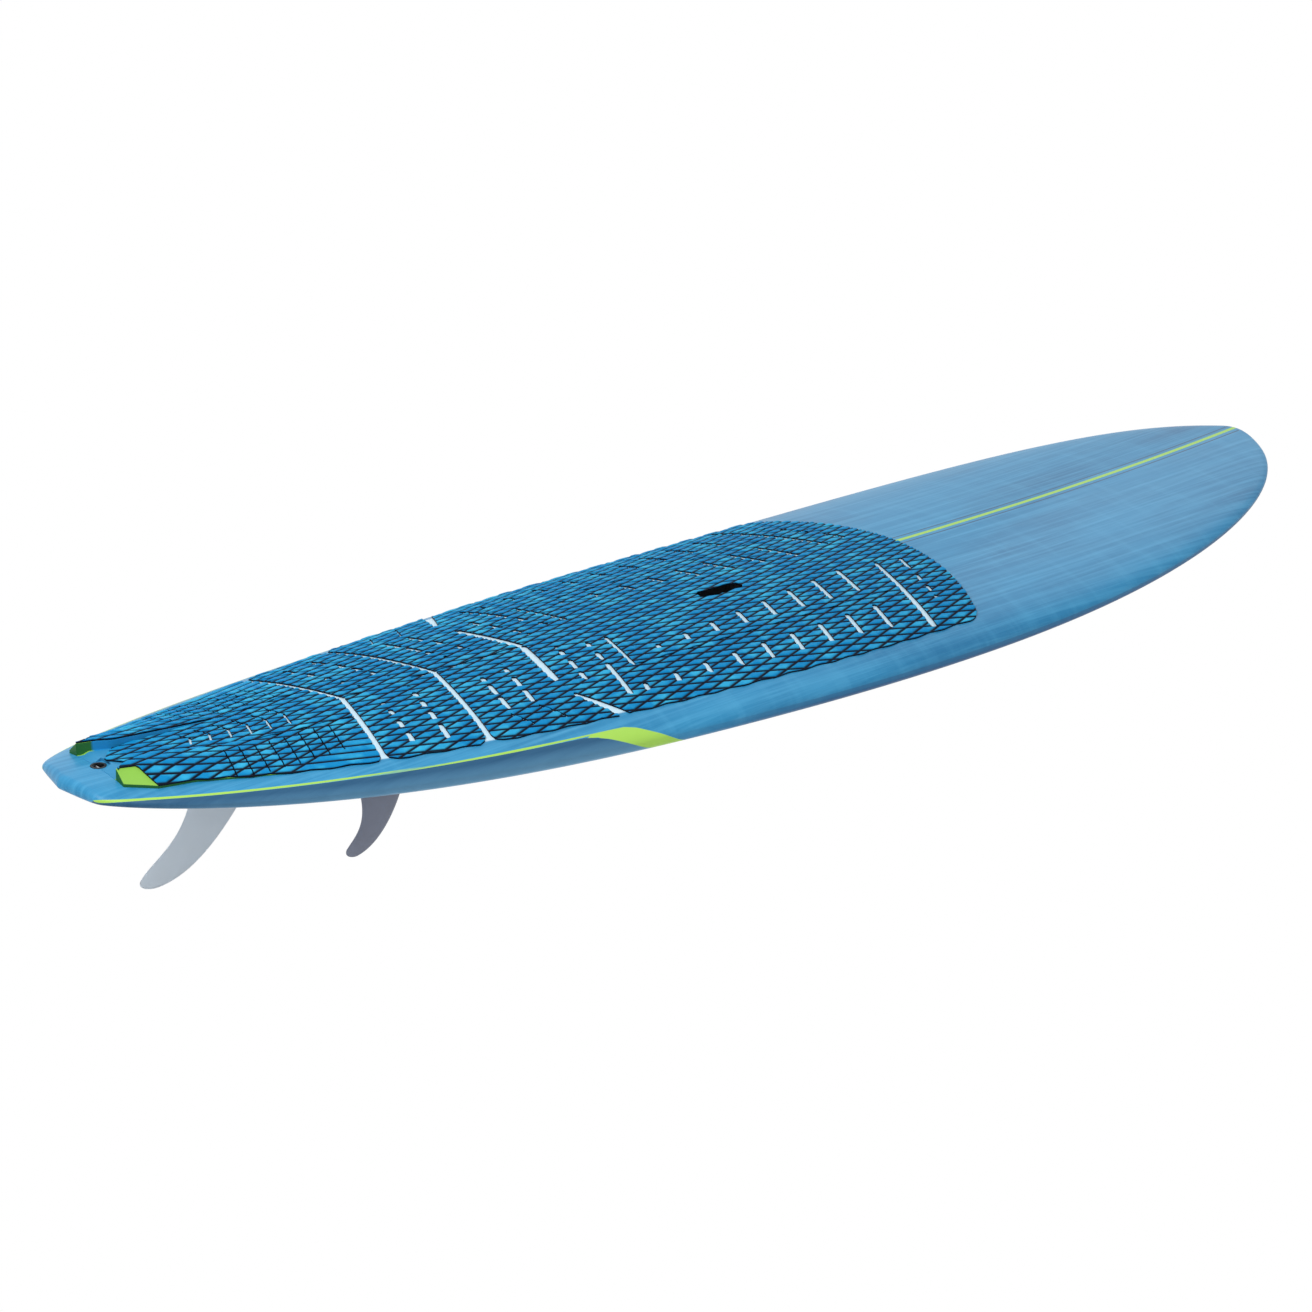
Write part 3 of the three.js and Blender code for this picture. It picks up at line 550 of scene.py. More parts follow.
def pad_foam():
    """Blue foam with painted shade and painted highlights: dark navy painted shade down in the grooves, pale
    cyan painted highlight patches on the tops.
    """
    material, g, shader = new_material("pad foam")
    height = g.attribute("pad_height")
    place = g.node("ShaderNodeTexCoord").outputs["Object"]
    # Painted highlight: this noise scatters pale cyan patches over the pad tops.
    highlight_cloud = g.node("ShaderNodeTexNoise", Vector=place, Scale=26.0, Detail=2.0).outputs["Fac"]
    top = g.mix(g.math("MULTIPLY", g.ramp(highlight_cloud, 0.45, 0.75), 0.55), linear(PAD_BLUE), linear(PAD_HIGHLIGHT))
    # Painted shade: the deeper a point lies in a groove, the nearer it is painted to near-black navy.
    colour = g.mix(g.ramp(height, 0.0022, 0.0034), linear(PAD_GROOVE_SHADE), top)
    g.feed(shader.inputs["Base Color"], colour)
    shader.inputs["Roughness"].default_value = 0.55
    shader.inputs["Specular IOR Level"].default_value = 0.12
    g.feed(shader.inputs["Normal"], foam_bump(g))
    return material


def kick_foam():
    """Lime green foam, with painted shade darkening its steep walls."""
    material, g, shader = new_material("kick foam")
    slope = facing_up(g)
    # Painted shade: the less a surface faces up, the darker green it is painted.
    colour = g.mix(g.ramp(slope, 0.35, 0.7), linear(KICK_WALL_SHADE), linear(KICK_GREEN))
    place = object_place(g)
    ahead = g.ramp(place.outputs[0], KICK_GREEN_END + FRAME_X, KICK_GREEN_END + 0.004 + FRAME_X)
    inboard = g.ramp(g.attribute("arch_wall"), 0.3, 0.7)
    colour = g.mix(g.math("MULTIPLY", ahead, inboard), colour, linear(PAD_BLUE))
    colour = g.mix(g.ramp(g.attribute("floor"), 0.4, 0.6), colour, linear(DECK_BLUE))
    colour = g.mix(g.ramp(g.attribute("arch_floor"), 0.4, 0.6), colour, linear(UNDER_PADS))
    g.feed(shader.inputs["Base Color"], colour)
    shader.inputs["Roughness"].default_value = 0.6
    g.feed(shader.inputs["Normal"], foam_bump(g))
    return material


def plain_material(name, colour, roughness, metallic=0.0, scale=300.0, depth=0.0002, **extra):
    """A single-colour finish with a faint procedural grain."""
    material, g, shader = new_material(name)
    place = g.node("ShaderNodeTexCoord").outputs["Object"]
    grain = g.node("ShaderNodeTexNoise", Vector=place, Scale=scale, Detail=3.0).outputs["Fac"]
    darker = tuple(c * 0.9 for c in linear(colour)[:3]) + (1.0,)
    g.feed(shader.inputs["Base Color"], g.mix(g.ramp(grain, 0.35, 0.65), darker, linear(colour)))
    shader.inputs["Roughness"].default_value = roughness
    shader.inputs["Metallic"].default_value = metallic
    for key, value in extra.items():
        shader.inputs[key.replace("_", " ")].default_value = value
    bump = g.node("ShaderNodeBump", Height=grain, Strength=0.2, Distance=depth)
    g.feed(shader.inputs["Normal"], bump.outputs[0])
    return material


def wood_material():
    material, g, shader = new_material("stringer wood")
    place = g.node("ShaderNodeTexCoord").outputs["Object"]
    along = g.node("ShaderNodeMapping", Vector=place, Scale=(2.0, 60.0, 60.0)).outputs[0]
    grain = g.node("ShaderNodeTexNoise", Vector=along, Scale=4.0, Detail=5.0).outputs["Fac"]
    g.feed(shader.inputs["Base Color"], g.mix(grain, linear((150, 108, 62)), linear((214, 178, 122))))
    shader.inputs["Roughness"].default_value = 0.7
    return material


# ---- The repeated grooves, as node trees ----
def node_tree(name, sockets):
    tree = bpy.data.node_groups.new(name, "GeometryNodeTree")
    for label, kind, default in sockets:
        socket = tree.interface.new_socket(label, in_out="INPUT", socket_type=kind)
        if default is not None:
            socket.default_value = default
    tree.interface.new_socket("Geometry", in_out="OUTPUT", socket_type="NodeSocketGeometry")
    return tree


def groove_tree():
    """Parallel V-shaped bars: Count of them, Pitch apart, turned by Angle, each a three-sided prism."""
    found = bpy.data.node_groups.get("Parallel Grooves")
    if found:
        return found
    tree = node_tree(
        "Parallel Grooves",
        [
            ("Count", "NodeSocketInt", 10),
            ("Pitch", "NodeSocketFloat", 18.9),
            ("Length", "NodeSocketFloat", 1000.0),
            ("Radius", "NodeSocketFloat", 10.0),
            ("Flatten", "NodeSocketFloat", 1.0),
            ("Angle", "NodeSocketFloat", 0.0),
            ("Centre", "NodeSocketVector", None),
            ("Material", "NodeSocketMaterial", None),
        ],
    )
    link = tree.links.new
    inside = tree.nodes.new("NodeGroupInput").outputs
    bar = tree.nodes.new("GeometryNodeMeshCylinder")
    bar.inputs["Vertices"].default_value = 4
    link(inside["Radius"], bar.inputs["Radius"])
    link(inside["Length"], bar.inputs["Depth"])
    lay = tree.nodes.new("GeometryNodeTransform")
    link(bar.outputs["Mesh"], lay.inputs["Geometry"])
    lay.inputs["Rotation"].default_value = (0.0, math.pi / 2, 0.0)
    flat = tree.nodes.new("ShaderNodeCombineXYZ")
    flat.inputs[0].default_value = 1.0
    flat.inputs[1].default_value = 1.0
    link(inside["Flatten"], flat.inputs[2])
    press = tree.nodes.new("GeometryNodeTransform")
    link(lay.outputs[0], press.inputs["Geometry"])
    link(flat.outputs[0], press.inputs["Scale"])
    step = tree.nodes.new("ShaderNodeCombineXYZ")
    link(inside["Pitch"], step.inputs[1])
    row = tree.nodes.new("GeometryNodeMeshLine")
    link(inside["Count"], row.inputs["Count"])
    link(step.outputs[0], row.inputs["Offset"])
    span = tree.nodes.new("ShaderNodeMath")
    span.operation = "MULTIPLY_ADD"
    link(inside["Count"], span.inputs[0])
    span.inputs[1].default_value = -0.5
    span.inputs[2].default_value = 0.5
    back = tree.nodes.new("ShaderNodeVectorMath")
    back.operation = "SCALE"
    link(step.outputs[0], back.inputs[0])
    link(span.outputs[0], back.inputs["Scale"])
    middle = tree.nodes.new("GeometryNodeTransform")
    link(row.outputs[0], middle.inputs["Geometry"])
    link(back.outputs[0], middle.inputs["Translation"])
    copies = tree.nodes.new("GeometryNodeInstanceOnPoints")
    link(middle.outputs[0], copies.inputs["Points"])
    link(press.outputs[0], copies.inputs["Instance"])
    turn = tree.nodes.new("ShaderNodeCombineXYZ")
    link(inside["Angle"], turn.inputs[2])
    place = tree.nodes.new("GeometryNodeTransform")
    link(copies.outputs[0], place.inputs["Geometry"])
    link(turn.outputs[0], place.inputs["Rotation"])
    link(inside["Centre"], place.inputs["Translation"])
    real = tree.nodes.new("GeometryNodeRealizeInstances")
    link(place.outputs[0], real.inputs[0])
    finish = tree.nodes.new("GeometryNodeSetMaterial")
    link(real.outputs[0], finish.inputs["Geometry"])
    link(inside["Material"], finish.inputs["Material"])
    outside = tree.nodes.new("NodeGroupOutput")
    link(finish.outputs[0], outside.inputs["Geometry"])
    return tree


def from_tree(name, tree, values):
    """A real mesh from a node tree with the given named inputs."""
    piece = bpy.data.objects.new(name, bpy.data.meshes.new(name))
    bpy.context.scene.collection.objects.link(piece)
    step = piece.modifiers.new("shape", "NODES")
    step.node_group = tree
    for item in tree.interface.items_tree:
        if item.in_out == "INPUT" and item.name in values:
            step[item.identifier] = values[item.name]
    bpy.context.view_layer.update()
    made = bpy.data.meshes.new_from_object(piece.evaluated_get(bpy.context.evaluated_depsgraph_get()))
    piece.modifiers.remove(step)
    piece.data = made
    return piece


# ---- Board skins ----
def girth_of(x, y, upper):
    """Distance along the section from the green line's middle, positive outboard and below, in mm."""
    turn = np.linspace(0, 1, 161)
    across = np.sin(turn * math.pi / 2)
    wide = max(float(half_width(x + tail_fade(x))), 1.0)
    thick = float(thickness(x))
    rise = (1 - RAIL_SHARE) * thick * np.maximum(0, 1 - across**DECK_DOME) ** (1 / DECK_DOME)
    fall = RAIL_SHARE * thick * np.maximum(0, 1 - across**BOTTOM_DOME) ** (1 / BOTTOM_DOME)
    top = np.concatenate([[0], np.cumsum(np.hypot(np.diff(across * wide), np.diff(rise)))])
    low = np.concatenate([[0], np.cumsum(np.hypot(np.diff(across * wide), np.diff(fall)))])
    line = top[-1] - LINE_RISE * (1 - math.exp(-x / LINE_REACH))
    reach = np.abs(y)
    if upper:
        return np.interp(reach, across * wide, top) - line
    return top[-1] + low[-1] - np.interp(reach, across * wide, low) - line


BAND_TOP = ((0, -2.6), (885, -2.7), (905, 3.5), (925, 16), (955, 32), (1000, 56), (1080, 98))
BAND_LOW = ((0, 2.6), (808, 2.6), (835, 8.4), (865, 23), (895, 37), (960, 67), (1020, 95))


def skin(name, upper):
    rings = []
    girth = []
    for i in range(STATIONS + 1):
        share = (1 - math.cos(math.pi * i / STATIONS)) / 2
        along = share * BOARD_LENGTH
        outer = half_section(along, along, 0.0, upper)
        inner = half_section(along, min(max(along - SKIN, 0), BOARD_LENGTH - 2 * SKIN), -SKIN, upper)
        rings.append(np.vstack([outer, inner[::-1]]))
        values = girth_of(along, outer[:, 1], upper)
        girth.append(np.concatenate([values, values[::-1]]))
    points, faces = loft(rings)
    piece = new_piece_with(name, points, faces, np.concatenate(girth))
    return piece


def new_piece_with(name, points, faces, girth):
    """A skin with the paint's distances stored on its points, in metres."""
    mesh = bpy.data.meshes.new(name)
    mesh.from_pydata(to_frame(points).tolist(), [], faces)
    piece = bpy.data.objects.new(name, mesh)
    bpy.context.scene.collection.objects.link(piece)
    x = points[:, 0]
    band = np.minimum(girth - np.interp(x, *zip(*BAND_TOP)), np.interp(x, *zip(*BAND_LOW)) - girth)
    band = np.minimum(band, x - TAIL_CORNER_X)
    band = np.where(x > 1070, -5.0, band)
    navy = np.minimum(girth - np.interp(x, *zip(*BAND_LOW)), x - TAIL_CORNER_X)
    navy = np.minimum(navy, 150 - girth)
    navy = np.where(x > 1010, -5.0, navy)
    store(piece, "girth", girth / 1000)
    store(piece, "band", band / 1000)
    store(piece, "navy", navy / 1000)
    inside = half_width(x) - PAD_INSET - 5 - np.abs(points[:, 1])
    inside = np.minimum(inside, PAD_FRONT_X - 8 - PAD_FRONT_BOW * points[:, 1] ** 2 - x)
    store(piece, "covered", np.minimum(inside, x - KICK_REAR_X - 60) / 1000)
    face_outward(piece)
    return piece


# ---- Kick ----
def cut_y(x):
    return ARCH_REAR_Y + ARCH_SPLAY * (np.asarray(x, float) - ARCH_REAR_X)


def pad_edge_y(x):
    return half_width(x) - PAD_INSET


def kick_edge_at(x):
    x = np.asarray(x, float)
    past = np.maximum(0, x - KICK_REAR_X)
    rear = KICK_REAR_Y + (KICK_EDGE_Y - KICK_REAR_Y) * past / (KICK_EDGE_X - KICK_REAR_X)
    ease = np.maximum(0, 1 - (x - KICK_EDGE_X) / 60)
    return np.where(x < KICK_EDGE_X, rear, pad_edge_y(x) + (KICK_EDGE_Y - pad_edge_y(KICK_EDGE_X)) * ease)


def kick_ridge_at(x):
    x = np.asarray(x, float)
    past = np.maximum(0, x - KICK_REAR_X)
    rear = KICK_PEAK_Y + (KICK_RIDGE_Y - KICK_PEAK_Y) * past / (KICK_RIDGE_X - KICK_REAR_X)
    return np.where(x < KICK_RIDGE_X, rear, KICK_RIDGE_Y + 0.1 * (x - KICK_RIDGE_X))


def wall_at(x):
    """The foot of the steep wall beside the arch."""
    t = np.clip((np.asarray(x, float) - KICK_REAR_X - 2) / (ARCH_REAR_X - KICK_REAR_X - 2), 0, 1)
    return np.where(t < 1, KICK_PEAK_Y - 2 + (ARCH_REAR_Y - KICK_PEAK_Y + 2) * t, cut_y(x))


def kick_height(x, y):
    """Height of the green wedge above the deck."""
    x, reach = np.asarray(x, float), np.abs(y)
    fade = np.clip((KICK_FRONT_X - x) / (KICK_FRONT_X - KICK_RIDGE_X), 0, 1)
    ridge, edge = kick_ridge_at(x), kick_edge_at(x)
    step = ARCH_SUPPORT * np.clip((x - ARCH_PROW_X + 8) / 8, 0, 1)
    inner = step + (KICK_PEAK - step) * np.clip((reach - wall_at(x)) / KICK_WALL_RUN, 0, 1)
    out = np.minimum(1, (reach - ridge) / np.maximum(edge - ridge, 1e-6))
    outer = KICK_PEAK + (KICK_EDGE - KICK_PEAK) * out
    return np.where(reach < ridge, inner, outer) * fade


def kick_wedge(name, side):
    """One green wedge, closed, from its blunt rear wall to its toe."""
    xs = [KICK_REAR_X, *range(72, 93, 4), 97, KICK_RIDGE_X, 108, KICK_EDGE_X, 122, 130, 140]
    xs += [*range(150, 291, 20), KICK_TOE_X]
    rings = []
    for x in xs:
        inner = LEASH_RADIUS + 3 if x < ARCH_PROW_X + 3 else 0.4
        wall, edge = float(wall_at(x)), float(kick_edge_at(x)) - 1
        ridge = max(float(kick_ridge_at(x)), wall + 2 * KICK_WALL_RUN)
        marks = [inner, wall, wall + KICK_WALL_RUN, ridge, edge]
        y = np.concatenate([np.linspace(a, b, 7)[:-1] for a, b in zip(marks, marks[1:])] + [[edge]])
        top = deck(x, y) + kick_height(x, y) + KICK_TOE
        low = deck(x, y) - 0.2
        upper = np.stack([np.full_like(y, x), side * y, top], 1)
        under = np.stack([np.full_like(y, x), side * y, low], 1)[::-1]
        rings.append(np.vstack([upper, under]))
    points, faces = loft(rings)
    piece = new_piece(name, points, faces)
    place = np.array([v.co for v in piece.data.vertices]) * 1000 - (FRAME_X * 1000, 0, FRAME_Z * 1000)
    reach, ahead = np.abs(place[:, 1]), place[:, 0]
    store(piece, "floor", (reach < wall_at(ahead) - 0.5) & (ahead < ARCH_REAR_X))
    store(piece, "arch_wall", reach < wall_at(ahead) + KICK_WALL_RUN + 12)
    store(piece, "arch_floor", (reach < cut_y(ahead) - 5) & (ahead > ARCH_REAR_X + 20))
    bevel = piece.modifiers.new("round", "BEVEL")
    bevel.width = 0.0024
    bevel.segments = 3
    bevel.limit_method = "ANGLE"
    bevel.angle_limit = math.radians(32)
    bpy.context.view_layer.update()
    piece.data = bpy.data.meshes.new_from_object(piece.evaluated_get(bpy.context.evaluated_depsgraph_get()))
    piece.modifiers.remove(bevel)
    return piece


# ---- Deck pads ----
def seam_x(seam, y):
    return SEAM_VERTEX_X[seam] - SEAM_SWEEP[seam] * abs(y)


def wavy_edge(x):
    wave = abs((x / GRIP_LENGTH) % 1 - 0.5) * 2
    return float(pad_edge_y(x)) + EDGE_WAVE * (wave - 0.5)


def pad_outline(rear, front, rear_y, front_y, step=8):
    """Closed outline of a pad across the whole board, rear(y) and front(y) giving its ends."""
    inset = PAD_CORNER * 0.29
    start, stop = rear(rear_y) + PAD_CORNER, front(front_y) - PAD_CORNER
    port = [(rear(y), y) for y in np.linspace(0, rear_y - PAD_CORNER, 12)]
    port.append((rear(rear_y) + inset, wavy_edge(rear(rear_y) + inset) - inset))
    port += [(x, wavy_edge(x)) for x in np.linspace(start, stop, int((stop - start) / step) + 2)]
    port.append((front(front_y) - inset, wavy_edge(stop) - inset))
    port += [(front(y), y) for y in np.linspace(front_y - PAD_CORNER, 0, 14)]
    return port + [(x, -y) for x, y in port[1:-1]][::-1]


def slit(x0, y0, x1, y1, width, tip=None):
    """Outline of a straight slit with its two ends drawn in, tip being its far end's width."""
    tip = width if tip is None else tip
    length = math.hypot(x1 - x0, y1 - y0)
    ux, uy = (x1 - x0) / length, (y1 - y0) / length
    near = [(0.0, 0.22 * width), (0.35 * width, 0.5 * width)]
    near += [(length - 0.35 * tip, 0.5 * tip), (length, 0.22 * tip)]
    loop = near + [(a, -b) for a, b in near][::-1]
    return [(x0 + a * ux - b * uy, y0 + a * uy + b * ux) for a, b in loop]


def dash_row(vertex_x, sweep, spans, width):
    """Slits that lie on one swept-back line on both sides, each spanning two distances from the centre."""
    found = []
    for near, far in spans:
        for side in (-1, 1):
            inner, outer = (vertex_x - sweep * near, side * near), (vertex_x - sweep * far, side * far)
            found.append(slit(*inner, *outer, width))
    return found


def angled_row(first, last, count, starts, ends, lean, width):
    """Parallel slits along the board: lean is how far forward each runs for a mm inward."""
    found = []
    for i in range(count):
        t = i / (count - 1)
        x = first + (last - first) * t
        near = starts[0] + (starts[1] - starts[0]) * t
        far = ends[0] + (ends[1] - ends[0]) * t
        for side in (-1, 1):
            found.append(slit(x, side * far, x + lean * (far - near), side * near, width))
    return found


def both_sides(x0, y0, x1, y1, width, tip=None):
    return [slit(x0, side * y0, x1, side * y1, width, tip) for side in (-1, 1)]


def slab(name, outline):
    """A flat gridded plate cut to an outline, from height 0 to the pad's thickness."""
    xs = [p[0] for p in outline]
    ys = [p[1] for p in outline]
    nx = int((max(xs) - min(xs)) / 14) + 3
    ny = int((max(ys) - min(ys)) / 14) + 3
    gx = np.linspace(min(xs) - 3, max(xs) + 3, nx)
    gy = np.linspace(min(ys) - 3, max(ys) + 3, ny)
    rings = []
    for x in gx:
        upper = np.stack([np.full(ny, x), gy, np.full(ny, PAD_THICKNESS)], 1)
        under = np.stack([np.full(ny, x), gy[::-1], np.zeros(ny)], 1)
        rings.append(np.vstack([upper, under]))
    points, faces = loft(rings)
    plate = new_piece(name, points, faces, framed=False)
    return combine(plate, "INTERSECT", prism("outline", outline, -3, PAD_THICKNESS + 3))


def grooved(piece, depth, width, material):
    """Cuts the two families of grooves that leave long raised diamonds."""
    low = np.array([v.co for v in piece.data.vertices])
    span = low.max(0) - low.min(0)
    centre = (low.max(0) + low.min(0)) / 2
    angle = math.atan2(GRIP_WIDTH, GRIP_LENGTH)
    pitch = 1 / math.hypot(1 / GRIP_LENGTH, 1 / GRIP_WIDTH)
    reach = math.hypot(span[0], span[1])
    count = int(reach * math.sin(angle + math.atan2(span[1], span[0])) / pitch) + 4
    count += 1 - count % 2
    for sign in (1, -1):
        x_centre = round(centre[0] / GRIP_LENGTH) * GRIP_LENGTH
        bars = from_tree(
            "grooves",
            groove_tree(),
            {
                "Count": count,
                "Pitch": pitch,
                "Length": reach + 60,
                "Radius": width / 2,
                "Flatten": 2 * depth / width,
                "Angle": sign * angle,
                "Centre": (x_centre, 0.0, PAD_THICKNESS),
                "Material": material,
            },
        )
        combine(piece, "DIFFERENCE", bars)
    return piece


def make_pad(name, outline, holes, material, base, nodes, grip, floor=SLIT_FLOOR):
    """One grooved pad: cut flat, then laid on the deck; floor is the height at which its slits end."""
    piece = slab(name, outline)
    grooved(piece, grip[0], grip[1], material)
    for hole in holes:
        combine(piece, "DIFFERENCE", prism("slit", hole, floor, PAD_THICKNESS + 4))
    points = np.array([v.co for v in piece.data.vertices])
    store(piece, "pad_height", points[:, 2] / 1000)

    def lay(p):
        z = deck(p[:, 0], p[:, 1]) + base(p[:, 0], p[:, 1]) + p[:, 2]
        return to_frame(np.stack([p[:, 0], p[:, 1], z], 1))

    move_points(piece, lay)
    face_outward(piece)
    smooth(piece, 12)
    return finish_piece(paint(piece, material), "board", nodes)


def finish_piece(piece, body, nodes):
    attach(piece, body)
    if nodes:
        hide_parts(*nodes)
    return piece


def over_kick(x, y):
    return np.where(x < KICK_FRONT_X, kick_height(x, y) + KICK_TOE + 0.3, 0.3)


def on_deck(x, y):
    return 0.3 + 0 * x


def wing_inner(x):
    return float(wall_at(x)) + KICK_WALL_RUN + 0.7


def wing_outer(x):
    if x < KICK_EDGE_X:
        t = max(0, x - KICK_RIDGE_X) / (KICK_EDGE_X - KICK_RIDGE_X)
        ridge = float(kick_ridge_at(x))
        return max(ridge + t * (KICK_EDGE_Y - ridge), wing_inner(x) + 3)
    return float(kick_edge_at(x))


# ---- Fins ----
def fin_frame(x, y, toe_in, cant):
    """The fin box's own axes at the underside, as a matrix in board millimetres."""
    pitch = math.atan2(float(bottom(x + 1) - bottom(x - 1)), 2)
    turned = Matrix.Rotation(-pitch, 4, "Y") @ Matrix.Rotation(math.radians(toe_in), 4, "Z")
    leaned = turned @ Matrix.Rotation(math.radians(cant), 4, "X")
    return Matrix.Translation((x, y, float(underside(x, y)))) @ leaned


def even(curve, count):
    """Points at equal distances along a polyline."""
    run = np.concatenate([[0], np.cumsum(np.hypot(*np.diff(curve, axis=0).T))])
    at = np.linspace(0, run[-1], count)
    return np.stack([np.interp(at, run, curve[:, 0]), np.interp(at, run, curve[:, 1])], 1)


def blade(name, leading, trailing, thick, rows=72, shares=26):
    """A foiled fin between its leading and trailing edges, hanging below z = 0 in its own frame."""
    front, rear = even(leading, rows), even(trailing, rows)
    share = (1 - np.cos(np.linspace(0, math.pi, shares))) / 2
    rings = []
    for i in range(rows):
        x = rear[i, 0] + (front[i, 0] - rear[i, 0]) * share
        z = rear[i, 1] + (front[i, 1] - rear[i, 1]) * share
        depth = i / (rows - 1)
        foil = np.maximum(0, 1 - np.abs(2 * share - 1) ** 2.6) ** 0.62
        half = thick / 2 * (1 - 0.6 * depth) * foil * min(1, (rows - 1 - i) / 5) ** 0.5 + 0.02
        rings.append(np.vstack([np.stack([x, half, z], 1), np.stack([x, -half, z], 1)[::-1]]))
    points, faces = loft(rings)
    return new_piece(name, points, faces, framed=False)


def place_fin(piece, matrix):
    def put(p):
        turned = p @ np.array(matrix.to_3x3()).T + np.array(matrix.translation)
        return to_frame(turned)

    move_points(piece, put)
    face_outward(piece)
    smooth(piece, 40)
    return piece


class BoardSettings(bpy.types.PropertyGroup):
    """Sizes and view that can be changed in the sidebar."""

    grip_depth: FloatProperty(
        name="Grip Depth",
        description="Depth of the pad grooves in mm",
        default=2.8, min=0.5, max=4.5,
    )
    grip_groove: FloatProperty(
        name="Groove Width",
        description="Width of the pad grooves in mm",
        default=10.5, min=2.0, max=18.0,
    )
    slit_width: FloatProperty(
        name="Slit Width",
        description="Width of the short slits in mm",
        default=10.0, min=2.0, max=14.0,
    )
    lens: FloatProperty(
        name="Lens",
        description="Camera focal length in mm on a 36 mm sensor",
        default=87.75, min=20, max=300,
    )
    azimuth: FloatProperty(
        name="Heading",
        description="Direction the camera looks, from the +Y axis towards +X",
        default=math.radians(38.973), subtype="ANGLE", unit="ROTATION",
    )
    elevation: FloatProperty(
        name="Elevation",
        description="How far the camera looks down",
        default=math.radians(21.065), subtype="ANGLE", unit="ROTATION",
    )
    roll: FloatProperty(
        name="Roll",
        description="Turn of the camera about its own line of sight",
        default=math.radians(0.629), subtype="ANGLE", unit="ROTATION",
    )
    camera_x: FloatProperty(
        name="Camera X",
        description="Camera position along the board",
        default=-3.5385, subtype="DISTANCE", unit="LENGTH",
    )
    camera_y: FloatProperty(
        name="Camera Y",
        description="Camera position across the board",
        default=-4.168, subtype="DISTANCE", unit="LENGTH",
    )
    camera_z: FloatProperty(
        name="Camera Z",
        description="Camera height",
        default=2.2263, subtype="DISTANCE", unit="LENGTH",
    )
    stripe_count: IntProperty(
        name="Arch Slits",
        description="Number of chevron slits in the tail arch",
        default=6, min=1, max=10,
    )


def handle_cut(grow):
    return rounded_slot(HANDLE_LENGTH + 2 * grow, HANDLE_WIDTH + 2 * grow, HANDLE_X, 0.0, 20)


def cut_frame(name, outline, low, high):
    """A cutter in frame metres from a plan outline in board millimetres."""
    piece = prism(name, outline, low, high)
    move_points(piece, to_frame)
    face_outward(piece)
    return piece


class BOARD_OT_skins(bpy.types.Operator):
    """Build the painted deck and bottom skins"""

    bl_idname = "board.skins"
    bl_label = "Skins"

    def execute(self, context):
        material = board_paint()
        top = skin("deck_shell", True)
        well = cut_frame("well", handle_cut(HANDLE_FLANGE + 0.3), 60, 400)
        turn = np.linspace(0, 2 * math.pi, 48, endpoint=False)
        hole = LEASH_RADIUS + 0.3
        ring = [(LEASH_X + hole * math.cos(a), hole * math.sin(a)) for a in turn]
        combine(top, "DIFFERENCE", well, cut_frame("plug", ring, 60, 400))
        low = skin("bottom_shell", False)
        pockets = []
        for x, y, toe, cant, length, width, ahead in (
            (FIN_X, 0, 0, 0, 273.6, 25.6, 25),
            (SIDE_FIN_X, SIDE_FIN_Y, -SIDE_FIN_TOE_IN, SIDE_FIN_CANT, 122.6, 18.6, -2),
            (SIDE_FIN_X, -SIDE_FIN_Y, SIDE_FIN_TOE_IN, -SIDE_FIN_CANT, 122.6, 18.6, -2),
        ):
            pocket = prism("pocket", rounded_slot(length, width, ahead), -14, 12)
            pockets.append(place_fin(pocket, fin_frame(x, y, toe, cant)))
        combine(low, "DIFFERENCE", *pockets)
        for piece, node, slot in ((top, "deck_skin", "deck_paint"), (low, "bottom_skin", "rail_paint")):
            smooth(piece, 40)
            finish_piece(paint(piece, material), "board", [node])
        return {"FINISHED"}


class BOARD_OT_kick(bpy.types.Operator):
    """Build the two green wedges of the tail kick"""

    bl_idname = "board.kick"
    bl_label = "Tail Kick"

    def execute(self, context):
        material = kick_foam()
        for name, side in (("port", 1), ("starboard", -1)):
            piece = kick_wedge(f"kick_foam_{name}", side)
            smooth(piece, 30)
            finish_piece(paint(piece, material), "board", [f"kick_wedge_{name}"])
        return {"FINISHED"}


